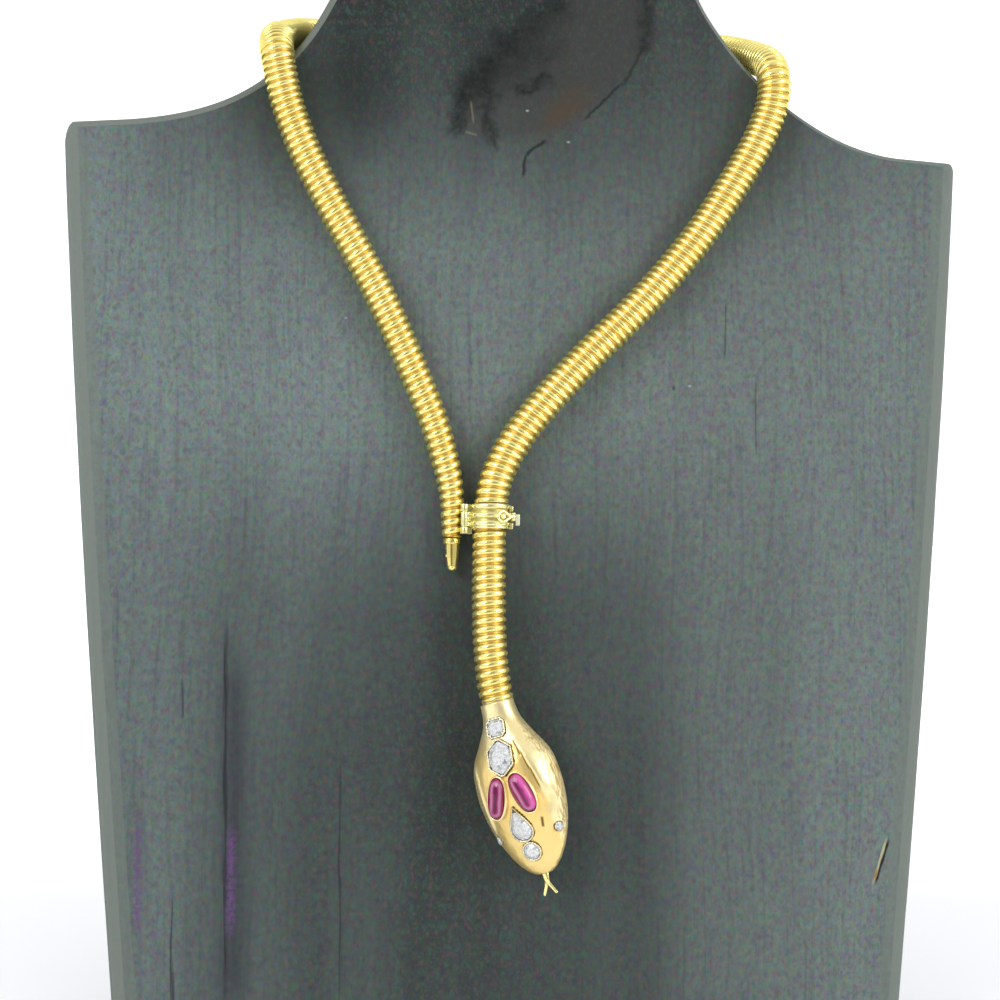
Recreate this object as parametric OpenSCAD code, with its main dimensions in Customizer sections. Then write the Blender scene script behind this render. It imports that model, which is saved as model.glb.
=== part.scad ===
// Snake necklace of ridged flexible tube with a gem-set head, fastened by a hinged
// collar clasp and laid on a plain wooden neck bust board that leans back on a prop.
// Shapes on the board are drawn as x across it, y up it and z out of its front face,
// and lean_back() then stands the board up on the table.

/* [Board] */
// Thickness of the plank
board_t = 18; // [12:1:24]
// Half of the width at the foot
foot_half = 81.5; // [76:0.5:86]
// Half of the width at the shoulders
shoulder_half = 94.8; // [92:0.2:98]
// Height of the left shoulder along the board
shoulder_left = 194; // [190:0.5:196]
// Height of the right shoulder along the board
shoulder_right = 190; // [187:0.5:196]
// Height of the neck's top along the board
board_h = 238; // [234:1:260]
// How far the board leans back from upright, in degrees
lean = 15; // [15:1:16]

/* [Prop] */
// Width of the prop behind the board
prop_w = 22; // [14:1:60]
// Height at which the prop meets the board's back
prop_h = 112; // [80:1:140]
// Depth of the prop's foot behind the board's foot
prop_d = 78; // [60:1:110]

/* [Snake body] */
// Distance from one ridge to the next at the tail's end
pitch = 1.9; // [1.7:0.1:2.4]
// Depth of the groove between two ridges
groove = 0.45; // [0.2:0.05:0.6]
// Radius over the ridges of the full body
body_r = 3.5; // [3.2:0.05:3.6]
// Radius over the ridges at the tail's end
tail_r = 2.05; // [1.8:0.05:2.2]

/* [Clasp] */
// Height of the collar along the body
collar_h = 5.2; // [4.8:0.1:5.6]
// Radius inside the collar
collar_in = 3.8; // [3.75:0.05:3.85]
// Radius outside the collar's plain wall
collar_out = 4.12; // [4.1:0.02:4.15]
// Radius over the collar's ribs
rib_r = 4.26; // [4.2:0.02:4.3]
// Radius of the hinge's barrel
barrel_r = 0.88; // [0.8:0.02:0.9]
// Radius of the hinge's pin
pin_r = 0.35; // [0.3:0.05:0.4]

/* [Head] */
// Length of the head from the last ridge to the snout
head_l = 37.4; // [35:0.2:40]
// How far the head's top turns to the left, in degrees
head_roll = 31; // [20:1:31]
// How far the snout swings to the right, in degrees
head_turn = 16.3; // [10:0.1:20]

/* [Hidden] */
$fn = 48;

gold = "#d8b35a";
rose_gold = "#e6b070";
silver = "#d9dde0";
clear = "#e8f1f5";
ruby = "#b01858";
stain = "#4a5254";

// Gap between two pieces of one body
gap = 0.1;
// Distance of the board's foot edge in front of the origin
foot_y = board_t / (2 * cos(lean));

// Route of the snake's middle line from the tail's end to the head: across, up, out
ROUTE = [
    [-13.4, 107.6, 2.5], [-13.4, 112, 2.55], [-13.6, 117, 2.8], [-14.8, 123, 3.1],
    [-17.5, 132, 3.3], [-21.4, 141.5, 3.4], [-25.6, 151, 3.55], [-30.1, 160.3, 3.6],
    [-35.2, 169.6, 3.7], [-40.4, 179, 3.75], [-45.2, 188.5, 3.75], [-48.8, 197.9, 3.75],
    [-50.4, 204.8, 3.78], [-51.1, 209.2, 3.25], [-51.1, 212.9, -1.5], [-49.9, 214.6, -7.5],
    [-48.2, 216.3, -13.5], [-45.4, 218.2, -20.2], [-40.2, 219.5, -26.4], [-32, 220.4, -32],
    [-22, 221.5, -36.5], [-10, 222.3, -39.2], [2, 222.5, -40], [14, 222.2, -38.9],
    [25, 221.4, -36], [35, 220.3, -31.6], [42.9, 218.9, -26], [48.2, 217.1, -20],
    [51.1, 215, -13.5], [52.9, 212.8, -7], [54.1, 210.6, -1.4], [54.4, 207.3, 2.9],
    [54.4, 203, 3.75], [53.2, 198, 3.75], [50.1, 191, 3.75], [45, 182.3, 3.75],
    [38.8, 172.8, 3.75], [31.5, 163.6, 3.75], [23.8, 155.1, 3.75], [15.2, 146.5, 3.75],
    [6.6, 137, 3.75], [0.4, 129.2, 3.95], [-3.5, 122.2, 4.3], [-5.1, 116.8, 4.5],
    [-5.6, 111, 4.5], [-5.8, 104, 4.8], [-5.8, 94.6, 5.4], [-5.6, 86, 5.9],
    [-5, 79.5, 6.1], [-4.1, 73.6, 6.2]
];

// Radius over the ridges by distance from the tail's end
TAPER = [[0, tail_r], [4, 2.35], [10, 2.65], [16, 2.95], [24, 3.1], [36, 3.2], [60, 3.35],
         [110, body_r], [1000, body_r]];

// Share of the pitch that is left between two ridges, by distance from the tail's end
CLOSER = [[0, 1], [24, 0.97], [40, 0.885], [90, 0.85], [110, 0.78], [270, 0.78], [290, 0.82],
          [350, 0.86], [380, 0.945], [1000, 0.945]];

// Steps drawn between two points of the route
STEPS = 8;
// Sides of the tube
SIDES = 12;
// Rings of corners in one ridge and its groove
RINGS = 2;

function unit(v) = v / norm(v);
function flat_list(l) = [for (part = l) each part];
function sum_to(l) = [for (i = 0, s = 0; i < len(l); s = s + l[i], i = i + 1) s];

// Point of a smooth curve through b and c, with a before them and d after them
function curve_at(a, b, c, d, t) = 0.5 * (2 * b + (c - a) * t
    + (2 * a - 5 * b + 4 * c - d) * t * t + (3 * b - a - 3 * c + d) * t * t * t);

route_n = len(ROUTE);
middle = [for (i = [0 : route_n - 2])
    for (k = [0 : STEPS - 1])
        curve_at(ROUTE[max(i - 1, 0)], ROUTE[i], ROUTE[i + 1], ROUTE[min(i + 2, route_n - 1)], k / STEPS),
    ROUTE[route_n - 1]];
middle_n = len(middle);
way = [for (i = [0 : middle_n - 1])
    unit(middle[min(i + 1, middle_n - 1)] - middle[max(i - 1, 0)])];
// Side direction that is carried along the route without twisting
side = [for (i = 0, s = unit(cross(way[0], [0, 0, 1])); i < middle_n;
    i = i + 1, s = i < middle_n ? unit(s - (s * way[i]) * way[i]) : s) s];
along = sum_to([for (i = [0 : middle_n - 1])
    i < middle_n - 1 ? norm(middle[i + 1] - middle[i]) : 0]);
tube_l = along[middle_n - 1];
middle_table = [for (axis = [0 : 2]) [for (i = [0 : middle_n - 1]) [along[i], middle[i][axis]]]];
way_table = [for (axis = [0 : 2]) [for (i = [0 : middle_n - 1]) [along[i], way[i][axis]]]];
side_table = [for (axis = [0 : 2]) [for (i = [0 : middle_n - 1]) [along[i], side[i][axis]]]];
function read(table, s) = [for (axis = [0 : 2]) lookup(s, table[axis])];

// Corner of the tube at distance s, turned by the given angle, at radius r
function tube_corner(s, angle, r) = let (w = unit(read(way_table, s)), n = unit(read(side_table, s)))
    read(middle_table, s) + r * (n * cos(angle) + cross(w, n) * sin(angle));

// Distance of each ridge along the route, stretched so that the last ends just short of the head
ridges = [for (s = 0; s < tube_l; s = s + pitch * lookup(s, CLOSER)) s];
turns = len(ridges) - 2;
ridge_table = [for (i = [0 : len(ridges) - 1]) [i, ridges[i]]];
stretch = (tube_l - gap) / lookup(turns + 1 - 1 / SIDES, ridge_table);
function ridge_at(n) = stretch * lookup(n, ridge_table);
tube_rows = RINGS * turns;
join_row = RINGS * floor(turns / 2);

// Stretch of the ridged tube between two rows of the one helix that runs through it
module ridged_tube(first, last, shift) {
    n = last - first;
    spots = [for (k = [first : last]) for (j = [0 : SIDES - 1])
        let (s = ridge_at(k / RINGS + j / SIDES) + shift)
        tube_corner(s, 360 * j / SIDES, lookup(s, TAPER) - (k % RINGS) * groove)];
    ends = [read(middle_table, ridge_at(first / RINGS + 0.5) + shift),
            read(middle_table, ridge_at(last / RINGS + 0.5) + shift)];
    c0 = (n + 1) * SIDES;
    c1 = c0 + 1;
    // Index of a corner, where the last side leads on to the next turn
    function at(k, j) = j < SIDES ? k * SIDES + j : (k + RINGS) * SIDES;
    walls = [for (k = [0 : n - 1]) for (j = [0 : SIDES - 1])
        if (j < SIDES - 1 || k + RINGS + 1 <= n)
            each [[at(k, j), at(k + 1, j), at(k + 1, j + 1)], [at(k, j), at(k + 1, j + 1), at(k, j + 1)]]];
    start = concat([for (j = [0 : SIDES - 1]) at(0, j)], [at(2, 0), at(1, 0)]);
    stop = concat([for (j = [0 : SIDES - 1]) at(n, j)], [at(n - 1, SIDES - 1), at(n - 2, SIDES - 1)]);
    caps = [for (i = [0 : len(start) - 1])
        each [[c0, start[i], start[(i + 1) % len(start)]], [c1, stop[(i + 1) % len(stop)], stop[i]]]];
    polyhedron(points = concat(spots, ends), faces = concat(walls, caps));
}

// Stands what is drawn on the flat board up at its lean
module lean_back() {
    translate([0, -foot_y, 0]) rotate([90 - lean, 0, 0]) children();
}

// Board

CORNER_R = 4;
NECK_HALF = 36;
NECK_EDGE = [40.2, 221.4];
// Heights that the two curves from shoulder to neck are drawn towards
HOLLOW_LEFT = 200.5;
HOLLOW_RIGHT = 204.3;

function bend3(a, b, c, d, t) = a * pow(1 - t, 3) + 3 * b * pow(1 - t, 2) * t
    + 3 * c * (1 - t) * t * t + d * pow(t, 3);
function bend2(a, b, c, t) = a * pow(1 - t, 2) + 2 * b * (1 - t) * t + c * t * t;

// Quarter of a corner's circle, from its right to its top
function arc_at(middle, step) = [for (a = [step : step : 90]) middle + CORNER_R * [cos(a), sin(a)]];

// Right edge of the board from below its foot to its top, for one shoulder and neck curve
function edge_of(shoulder, hollow) = concat(
    [[foot_half - 1, -8]],
    [for (t = [0 : 0.125 : 1]) bend2([foot_half, 0], [91.6, 115], [shoulder_half, shoulder - CORNER_R], t)],
    arc_at([shoulder_half - CORNER_R, shoulder - CORNER_R], 15),
    [for (t = [0 : 0.0625 : 1])
        bend3([82, shoulder + 0.8], [67, shoulder + 2.2], [50.5, hollow], NECK_EDGE, t)],
    [for (t = [0.25 : 0.25 : 1]) bend2(NECK_EDGE, [NECK_HALF, 229], [NECK_HALF, board_h - CORNER_R], t)],
    arc_at([NECK_HALF - CORNER_R, board_h - CORNER_R], 30));

module neck_board() {
    right = edge_of(shoulder_right, HOLLOW_RIGHT);
    left = edge_of(shoulder_left, HOLLOW_LEFT);
    color(stain) intersection() {
        lean_back() translate([0, 0, -board_t]) linear_extrude(board_t)
            polygon(concat(right, [for (i = [len(left) - 1 : -1 : 0]) [-left[i][0], left[i][1]]]));
        translate([-120, -60, 0]) cube([240, 220, 280]);
    }
}

// Triangular wooden prop behind the board, from the table up
module rear_prop() {
    back_y = foot_y + 0.2;
    color(stain) translate([prop_w / 2, 0, 0]) rotate([90, 0, -90]) linear_extrude(prop_w)
        polygon([[-back_y, 0], [-back_y - prop_h * tan(lean), prop_h],
                 [-back_y - prop_h * tan(lean) - 8, prop_h], [-back_y - prop_d, 10], [-back_y - prop_d, 0]]);
}

// Snake body

module tail_side_tube() {
    color(gold) lean_back() ridged_tube(0, join_row, 0);
}

module head_side_tube() {
    color(gold) lean_back() ridged_tube(join_row, tube_rows, 0.05);
}

// Turned cap on the tail's end, its rim above and its blunt cone below
module tail_tip() {
    rim_r = 1.78;
    rim_h = 1.3;
    edge = 0.2;
    cone_r = 1.3;
    end_r = 0.82;
    tip_l = 6.7;
    color(gold) lean_back() translate(ROUTE[0] - [0, gap, 0]) rotate([90, 0, 0])
        rotate_extrude() polygon(concat(
            [[0, 0], [rim_r - edge, 0], [rim_r, edge]],
            [[rim_r, rim_h - edge], [rim_r - edge, rim_h], [cone_r, rim_h]],
            [for (a = [0 : 15 : 90]) [end_r * cos(a), tip_l - end_r + end_r * sin(a)]]));
}

// Clasp, drawn about the body's middle: x across, y along the body, z out of the board

CLASP_AT = [-5.55, 111.9, 4.5];
TAIL_AT = ROUTE[1] - CLASP_AT;
HINGE = [-5.45, 0.6];
// Where the knuckles' webs end in the collar's wall
WEB_END = -3.9;
// Split between the two half collars, and half of the gap there
SPLIT_Z = 0.3;
SPLIT_GAP = 0.12;
// Heights of the hinge's parts along its axis
KNUCKLE_TOP = [1.1, 2.6];
KNUCKLE_MID = [-2.1, 1];
KNUCKLE_LOW = [-3.6, -2.2];
// Safety loop: its pivot, the slope of its plane, its reach to the button and its sizes
PIVOT = [4.6, 2.95];
LOOP_SLOPE = 25.8;
LOOP_REACH = 2.6;
LOOP_OUT = 1.37;
LOOP_IN = 0.9;
LOOP_T = 0.48;
LOOP_Y = -0.15;
EYE_R = 0.42;
EYE_HALF = 0.38;
PIVOT_PIN_R = 0.2;
// Half of the fork's height along the body
FORK_HALF = 0.85;
// Room cut for the tail, running gap around the hinge's pin, and a span that cuts right through
TAIL_ROOM = 2.53;
PIN_GAP = 0.05;
LONG = [-6, 6];

module at_clasp() {
    lean_back() translate(CLASP_AT) children();
}

// Cylinder along the body's direction, between two heights
module post_y(at, r, span) {
    translate([at[0], span[1], at[1]]) rotate([90, 0, 0]) cylinder(r = r, h = span[1] - span[0]);
}

module half_ring(r_out, span, front) {
    side_z = front ? SPLIT_Z + SPLIT_GAP : SPLIT_Z - SPLIT_GAP - 10;
    difference() {
        post_y([0, 0], r_out, span);
        post_y([0, 0], collar_in, [span[0] - 1, span[1] + 1]);
        translate([-10, span[0] - 1, front ? side_z - 20 : side_z + 10])
            cube([20, span[1] - span[0] + 2, 20]);
    }
}

// Back half of the collar with the outer knuckles, soldered to the tail, and the loop's fork
module clasp_back() {
    half_h = collar_h / 2;
    ring_r = collar_out + 0.08;
    split_low = SPLIT_Z - SPLIT_GAP;
    // Webs from the knuckles to the ring, and saddles from them to the tail
    web_z = -0.75;
    web_l = WEB_END - HINGE[0];
    saddle_z = -1.1;
    saddle_l = 2.4;
    saddle_t = 1.5;
    low_web = [0.5, 0.6];
    // Stem of the loop's fork, and its two arms
    stem_x = 4.25;
    stem_l = 0.7;
    stem_z = -1;
    stem_h = PIVOT[1] - 0.55 - stem_z;
    foot_l = 0.95;
    foot_z = -1.2;
    arm = 0.37;
    arm_z = 1.8;
    arm_h = 0.4;
    color(gold) at_clasp() difference() {
        union() {
            half_ring(ring_r, [-half_h, half_h], false);
            for (span = [KNUCKLE_TOP, KNUCKLE_LOW]) {
                post_y(HINGE, barrel_r, span);
                translate([HINGE[0], span[0], web_z])
                    cube([web_l, span[1] - span[0], split_low - web_z]);
                translate([HINGE[0] - 2.2, span[0], saddle_z]) cube([saddle_l, span[1] - span[0], saddle_t]);
            }
            translate([-4.3, -half_h, web_z]) cube([low_web[0], low_web[1], split_low - web_z]);
            translate([4, LOOP_Y - FORK_HALF, foot_z]) cube([foot_l, 2 * FORK_HALF, split_low - foot_z]);
            translate([stem_x, LOOP_Y - FORK_HALF, stem_z]) cube([stem_l, 2 * FORK_HALF, stem_h]);
            for (low = [-FORK_HALF, FORK_HALF - arm])
                hull() {
                    post_y(PIVOT, EYE_R, [LOOP_Y + low, LOOP_Y + low + arm]);
                    translate([stem_x, LOOP_Y + low, arm_z]) cube([stem_l, arm, arm_h]);
                }
            post_y(PIVOT, PIVOT_PIN_R, [LOOP_Y - FORK_HALF + 0.25, LOOP_Y + FORK_HALF - 0.25]);
        }
        // Room for the body, the tail, the hinge pin and the loop's eye
        post_y([0, 0], collar_in, LONG);
        post_y([TAIL_AT[0], TAIL_AT[2]], TAIL_ROOM, LONG);
        post_y(HINGE, pin_r + PIN_GAP, LONG);
        difference() {
            post_y(PIVOT, EYE_R + 0.13, [LOOP_Y - EYE_HALF - gap, LOOP_Y + EYE_HALF + gap]);
            post_y(PIVOT, PIVOT_PIN_R, LONG);
        }
    }
}

// Front half of the collar, with three ribs, the middle knuckle, the button and end plates
module clasp_front() {
    half_h = collar_h / 2;
    split_high = SPLIT_Z + SPLIT_GAP;
    rib_half = 0.47;
    web_h = 0.75;
    // End plates on both sides of the loop
    plate_x = 3.85;
    plate_l = 0.72;
    plate_h = 1.7;
    plate_spans = [[-half_h, -1.4], [1.1, 2.15]];
    // Button: a post with a domed end that reaches through the loop
    button_r = 0.58;
    button_h = 1.1;
    dome_r = 0.74;
    dome_z = 0.16;
    notch_half = FORK_HALF + 0.25;
    color(gold) at_clasp() difference() {
        union() {
            half_ring(collar_out, [-half_h, half_h], true);
            for (y = [-1.5, 0.2, 2.05])
                half_ring(rib_r, [y - rib_half, y + rib_half], true);
            post_y(HINGE, barrel_r, KNUCKLE_MID);
            translate([HINGE[0], KNUCKLE_MID[0], split_high])
                cube([WEB_END - HINGE[0], KNUCKLE_MID[1] - KNUCKLE_MID[0], web_h]);
            for (span = plate_spans)
                translate([plate_x, span[0], split_high]) cube([plate_l, span[1] - span[0], plate_h]);
            loop_plane() translate([LOOP_REACH, 0, -0.65]) intersection() {
                cylinder(r = button_r, h = button_h);
                translate([0, 0, dome_z]) sphere(r = dome_r);
            }
        }
        post_y([0, 0], collar_in, LONG);
        post_y(HINGE, pin_r + PIN_GAP, LONG);
        // Notch for the loop's fork
        translate([3.7, LOOP_Y - notch_half, -1]) cube([3, 2 * notch_half, 4]);
    }
}

module hinge_pin() {
    color(gold) at_clasp() post_y(HINGE, pin_r, [KNUCKLE_LOW[0] + 0.1, KNUCKLE_TOP[1] - 0.1]);
}

// Frame of the safety loop: x from its pivot to the button, z out of its plane
module loop_plane() {
    translate([PIVOT[0], LOOP_Y, PIVOT[1]]) rotate([0, LOOP_SLOPE, 0]) mirror([1, 0, 0]) children();
}

module safety_loop() {
    point_x = 0.75;
    color(gold) at_clasp() loop_plane() difference() {
        union() {
            translate([0, 0, -LOOP_T / 2]) linear_extrude(LOOP_T) difference() {
                union() {
                    hull() {
                        translate([LOOP_REACH, 0]) circle(r = LOOP_OUT, $fn = 32);
                        translate([point_x, 0]) circle(r = 0.3, $fn = 16);
                    }
                    translate([0, -0.3]) square([1, 0.6]);
                    translate([LOOP_REACH + LOOP_OUT - 0.15, -0.3]) square([0.65, 0.6]);
                }
                hull() {
                    translate([LOOP_REACH, 0]) circle(r = LOOP_IN, $fn = 32);
                    translate([point_x + 0.55, 0]) circle(r = 0.12, $fn = 16);
                }
            }
            rotate([90, 0, 0]) translate([0, 0, -EYE_HALF]) cylinder(r = EYE_R, h = 2 * EYE_HALF);
        }
        rotate([90, 0, 0]) translate([0, 0, -1]) cylinder(r = PIVOT_PIN_R + 0.06, h = 2);
    }
}

// Thumb piece of the spring tongue, beside the fork's stem
module press_tab() {
    color(gold) at_clasp() {
        translate([5, -0.6, 0.1]) cube([0.3, 0.7, 0.9]);
        translate([5.2, -1.75, -0.3]) cube([0.88, 2.3, 1.7]);
    }
}

// Head, drawn from the neck at y 0 down to the snout, with its top towards z

HEAD_AT = [-4.1, 73.4, 6.2];

// Cross-sections: distance from the neck, half width, height above and depth below the middle
HEAD = [
    [0, 3.4, 3.4, 3.4], [4, 4, 3.6, 3.5], [8, 6.2, 4.7, 3.6], [11.3, 8.25, 5.7, 3.7],
    [14, 9.15, 6.1, 3.8], [19.3, 9.5, 6.1, 3.8], [23.5, 9.1, 5, 3.6], [26.5, 8.4, 4.1, 3.3],
    [29.4, 7.4, 3.3, 2.8], [32.3, 6, 2.6, 2.2], [34.6, 4.5, 2.05, 1.75], [36.3, 3, 1.5, 1.35],
    [37.1, 1.9, 1.1, 1], [37.4, 1.2, 0.8, 0.75]
];
// Angles of a cross-section's corners, with the mouth's groove low on each side
HEAD_ANGLES = concat([for (a = [0 : 15 : 180]) a], [190, 196, 202], [for (a = [215 : 22 : 325]) a],
                     [338, 344, 350]);
MOUTH_ANGLES = [196, 344];
MOUTH_DEPTH = 0.5;
// Largest part of the half width that the groove takes
MOUTH_PART = 0.15;
// Where the mouth's groove begins, from the neck
MOUTH_FROM = 13;
// Fullness of the cross-sections, below 1 for squarer
FULL = 0.9;

head_scale = head_l / 37.4;
function head_col(c) = [for (row = HEAD) [row[0] * head_scale, row[c]]];
function bulge(v) = sign(v) * pow(abs(v), FULL);
function head_corner(row, a) =
    let (x = row[1] * bulge(cos(a)), z = (sin(a) > 0 ? row[2] : row[3]) * bulge(sin(a)),
         in_mouth = len(search(a, MOUTH_ANGLES)) > 0 && row[0] > MOUTH_FROM,
         keep = in_mouth ? 1 - min(MOUTH_DEPTH / row[1], MOUTH_PART) : 1)
    [x * keep, -row[0] * head_scale, z];

// Height of the head's top surface at a distance from the neck and across
function top_z(t, x) = let (c = pow(abs(x) / lookup(t, head_col(1)), 1 / FULL))
    lookup(t, head_col(2)) * pow(sqrt(1 - c * c), FULL);

// Rows between the table's rows, on a smooth curve
head_rows = concat([for (i = [0 : len(HEAD) - 2]) for (k = [0, 0.5])
    curve_at(HEAD[max(i - 1, 0)], HEAD[i], HEAD[i + 1], HEAD[min(i + 2, len(HEAD) - 1)], k)],
    [HEAD[len(HEAD) - 1]]);

// Closed solid through stacked rings of equal numbers of corners
module stack(rings) {
    m = len(rings[0]);
    n = len(rings);
    walls = [for (k = [0 : n - 2]) for (j = [0 : m - 1]) let (jn = (j + 1) % m)
        each [[k * m + j, (k + 1) * m + j, (k + 1) * m + jn], [k * m + j, (k + 1) * m + jn, k * m + jn]]];
    polyhedron(points = flat_list(rings),
        faces = concat(walls, [[for (j = [0 : m - 1]) j]], [[for (j = [m - 1 : -1 : 0]) (n - 1) * m + j]]));
}

module at_head() {
    lean_back() translate(HEAD_AT) rotate([0, 0, head_turn]) rotate([0, -head_roll, 0]) children();
}

// Seats its children on the head's top: z along the surface's normal, y towards the neck
module seat(t, x, turn = 0) {
    d = 0.2;
    slope_y = (top_z(t - d, x) - top_z(t + d, x)) / (2 * d);
    slope_x = (top_z(t, x + d) - top_z(t, x - d)) / (2 * d);
    translate([x, -t, top_z(t, x)])
        rotate([0, -atan(slope_x), 0])
            rotate([atan(slope_y), 0, turn]) children();
}

// Stones: distance from the neck, across, turn
SQUARE = [5.1, 0, 0];
HEXAGON = [11.2, 0, 0];
PEAR = [25.4, -0.45, 0];
ROUND = [31.5, -0.1, 0];
RUBY_PLACES = [[19.1, -3.05, -21], [19.2, 2.9, 13.5]];
EYE_T = 27.9;
EYE_X = 6.9;
// Depth of the stones' pockets under the surface, and the settings' wall
POCKET = 1.1;
SETTING_WALL = 0.32;
SETTING_RISE = 0.35;

function oval(a, b, n = 16) = [for (i = [0 : n - 1]) [a * cos(360 * i / n), b * sin(360 * i / n)]];
// Oval with fuller ends and sides
OVAL_FULL = 0.85;
function full_oval(a, b, n) = [for (p = oval(1, 1, n))
    [a * sign(p[0]) * pow(abs(p[0]), OVAL_FULL), b * sign(p[1]) * pow(abs(p[1]), OVAL_FULL)]];
// Outline with four flat sides and cut corners: half widths, and where the corners' cuts begin
function cut_corners(a, b, x, y) = [
    for (s = [[1, y], [x, 1], [-x, 1], [-1, y], [-1, -y], [-x, -1], [x, -1], [1, -y]])
        [s[0] * a, s[1] * b]];
SQUARE_OUT = cut_corners(1.75, 1.75, 0.62, 0.62);
HEXAGON_OUT = cut_corners(2.5, 3.6, 0.12, 0.5);
PEAR_OUT = concat([[0, 3.7]], [for (a = [150 : 22.5 : 390]) [2.25 * cos(a), -1.45 + 2.25 * sin(a)]]);
ROUND_OUT = oval(1.75, 1.75);
RUBY_OUT = full_oval(2, 4.35, 20);
EYE_OUT = oval(0.95, 0.95, 10);

module prism(outline, grow, low, high) {
    translate([0, 0, low]) linear_extrude(high - low) offset(delta = grow) polygon(outline);
}

// Brilliant or step cut: a blunt point below, a girdle, two slopes of the crown and the table
module cut_stone(outline, crown) {
    steps = [[0.35, -POCKET + 0.12], [0.97, 0.02], [0.97, 0.16], [0.82, crown * 0.6], [0.58, crown]];
    stack([for (s = steps) [for (p = outline) [p[0] * s[0], p[1] * s[0], s[1]]]]);
}

// Smooth dome over a straight base
module cabochon(outline, high) {
    steps = concat([[0.96, -POCKET + 0.12]], [for (a = [0 : 18 : 72]) [0.97 * cos(a), 0.1 + high * sin(a)]]);
    stack([for (s = steps) [for (p = outline) [p[0] * s[0], p[1] * s[0], s[1]]]]);
}

module setting(outline) {
    difference() {
        prism(outline, SETTING_WALL, -POCKET + 0.06, SETTING_RISE);
        prism(outline, 0, -POCKET - 1, SETTING_RISE + 1);
    }
}

module at_eye(mirrored) {
    slope = 52;
    at_head() mirror([mirrored ? 1 : 0, 0, 0]) translate([EYE_X, -EYE_T, top_z(EYE_T, EYE_X)])
        rotate([8, slope, 0]) children();
}

// Slot or stem that holds the tongue in the snout, and the fork in front of it
module tongue_form(grow, fork) {
    stem = 0.3 + grow;
    right = concat([[stem, 1.8 + grow]], fork ? [[stem, -1.5], [1.75, -3.7], [1.3, -4]] : [[stem, -2.2]]);
    left = [for (i = [len(right) - 1 : -1 : 0]) [-right[i][0], right[i][1]]];
    linear_extrude(0.55 + 2 * grow, center = true)
        polygon(concat(right, fork ? [[0, -2.1]] : [], left));
}

module snake_head() {
    color(rose_gold) difference() {
        at_head() difference() {
            union() {
                stack([for (row = head_rows) [for (a = HEAD_ANGLES) head_corner(row, a)]]);
                for (place = RUBY_PLACES)
                    seat(place[0], place[1], place[2]) prism(RUBY_OUT, 0.4, -2, 0.45);
            }
            for (place = RUBY_PLACES)
                seat(place[0], place[1], place[2]) prism(RUBY_OUT, 0, -POCKET, 3);
            for (item = [[SQUARE, SQUARE_OUT], [HEXAGON, HEXAGON_OUT], [PEAR, PEAR_OUT], [ROUND, ROUND_OUT]])
                seat(item[0][0], item[0][1]) prism(item[1], SETTING_WALL + 0.06, -POCKET, 3);
            translate([0, -head_l, 0]) tongue_form(0.06, false);
        }
        for (mirrored = [false, true])
            at_eye(mirrored) prism(EYE_OUT, 0.06, -0.8, 3);
    }
}

module tongue() {
    color(gold) at_head() translate([0, -head_l, 0]) tongue_form(0, true);
}

module in_setting(place, outline) {
    color(silver) at_head() seat(place[0], place[1]) setting(outline);
}

module diamond(place, outline, crown) {
    color(clear) at_head() seat(place[0], place[1]) cut_stone(outline, crown);
}

module square_setting() in_setting(SQUARE, SQUARE_OUT);
module square_diamond() diamond(SQUARE, SQUARE_OUT, 0.75);
module hexagon_setting() in_setting(HEXAGON, HEXAGON_OUT);
module hexagon_diamond() diamond(HEXAGON, HEXAGON_OUT, 0.95);
module pear_setting() in_setting(PEAR, PEAR_OUT);
module pear_diamond() diamond(PEAR, PEAR_OUT, 0.95);
module round_setting() in_setting(ROUND, ROUND_OUT);
module round_diamond() diamond(ROUND, ROUND_OUT, 0.75);

module ruby_stone(place) {
    color(ruby) at_head() seat(place[0], place[1], place[2]) cabochon(RUBY_OUT, 1.75);
}
module ruby_left() ruby_stone(RUBY_PLACES[0]);
module ruby_right() ruby_stone(RUBY_PLACES[1]);

module eye_stone(mirrored) {
    steps = [[0.5, -0.7], [0.96, 0], [0.96, 0.12], [0.6, 0.42]];
    color(clear) at_eye(mirrored)
        stack([for (s = steps) [for (p = EYE_OUT) [p[0] * s[0], p[1] * s[0], s[1]]]]);
}
module eye_left() eye_stone(true);
module eye_right() eye_stone(false);

neck_board();
rear_prop();
tail_side_tube();
head_side_tube();
tail_tip();
clasp_back();
clasp_front();
hinge_pin();
safety_loop();
press_tab();
snake_head();
tongue();
square_setting();
square_diamond();
hexagon_setting();
hexagon_diamond();
pear_setting();
pear_diamond();
round_setting();
round_diamond();
ruby_left();
ruby_right();
eye_left();
eye_right();
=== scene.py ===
import math
import random
import bpy
import bmesh
from mathutils import Matrix, Vector, noise


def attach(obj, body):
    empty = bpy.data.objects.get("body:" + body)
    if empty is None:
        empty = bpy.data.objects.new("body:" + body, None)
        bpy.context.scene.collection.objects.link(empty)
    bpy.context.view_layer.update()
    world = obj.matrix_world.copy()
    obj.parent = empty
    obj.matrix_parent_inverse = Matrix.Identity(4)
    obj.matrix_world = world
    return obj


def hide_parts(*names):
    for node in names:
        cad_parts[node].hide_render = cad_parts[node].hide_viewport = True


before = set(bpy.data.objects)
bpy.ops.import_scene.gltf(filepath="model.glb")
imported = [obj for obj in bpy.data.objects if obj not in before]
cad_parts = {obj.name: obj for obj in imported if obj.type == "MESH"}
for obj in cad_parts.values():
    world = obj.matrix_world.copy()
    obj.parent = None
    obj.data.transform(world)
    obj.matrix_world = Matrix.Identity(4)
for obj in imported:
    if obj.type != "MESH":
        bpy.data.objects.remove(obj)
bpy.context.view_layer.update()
SEED = 11
random.seed(SEED)

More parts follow.
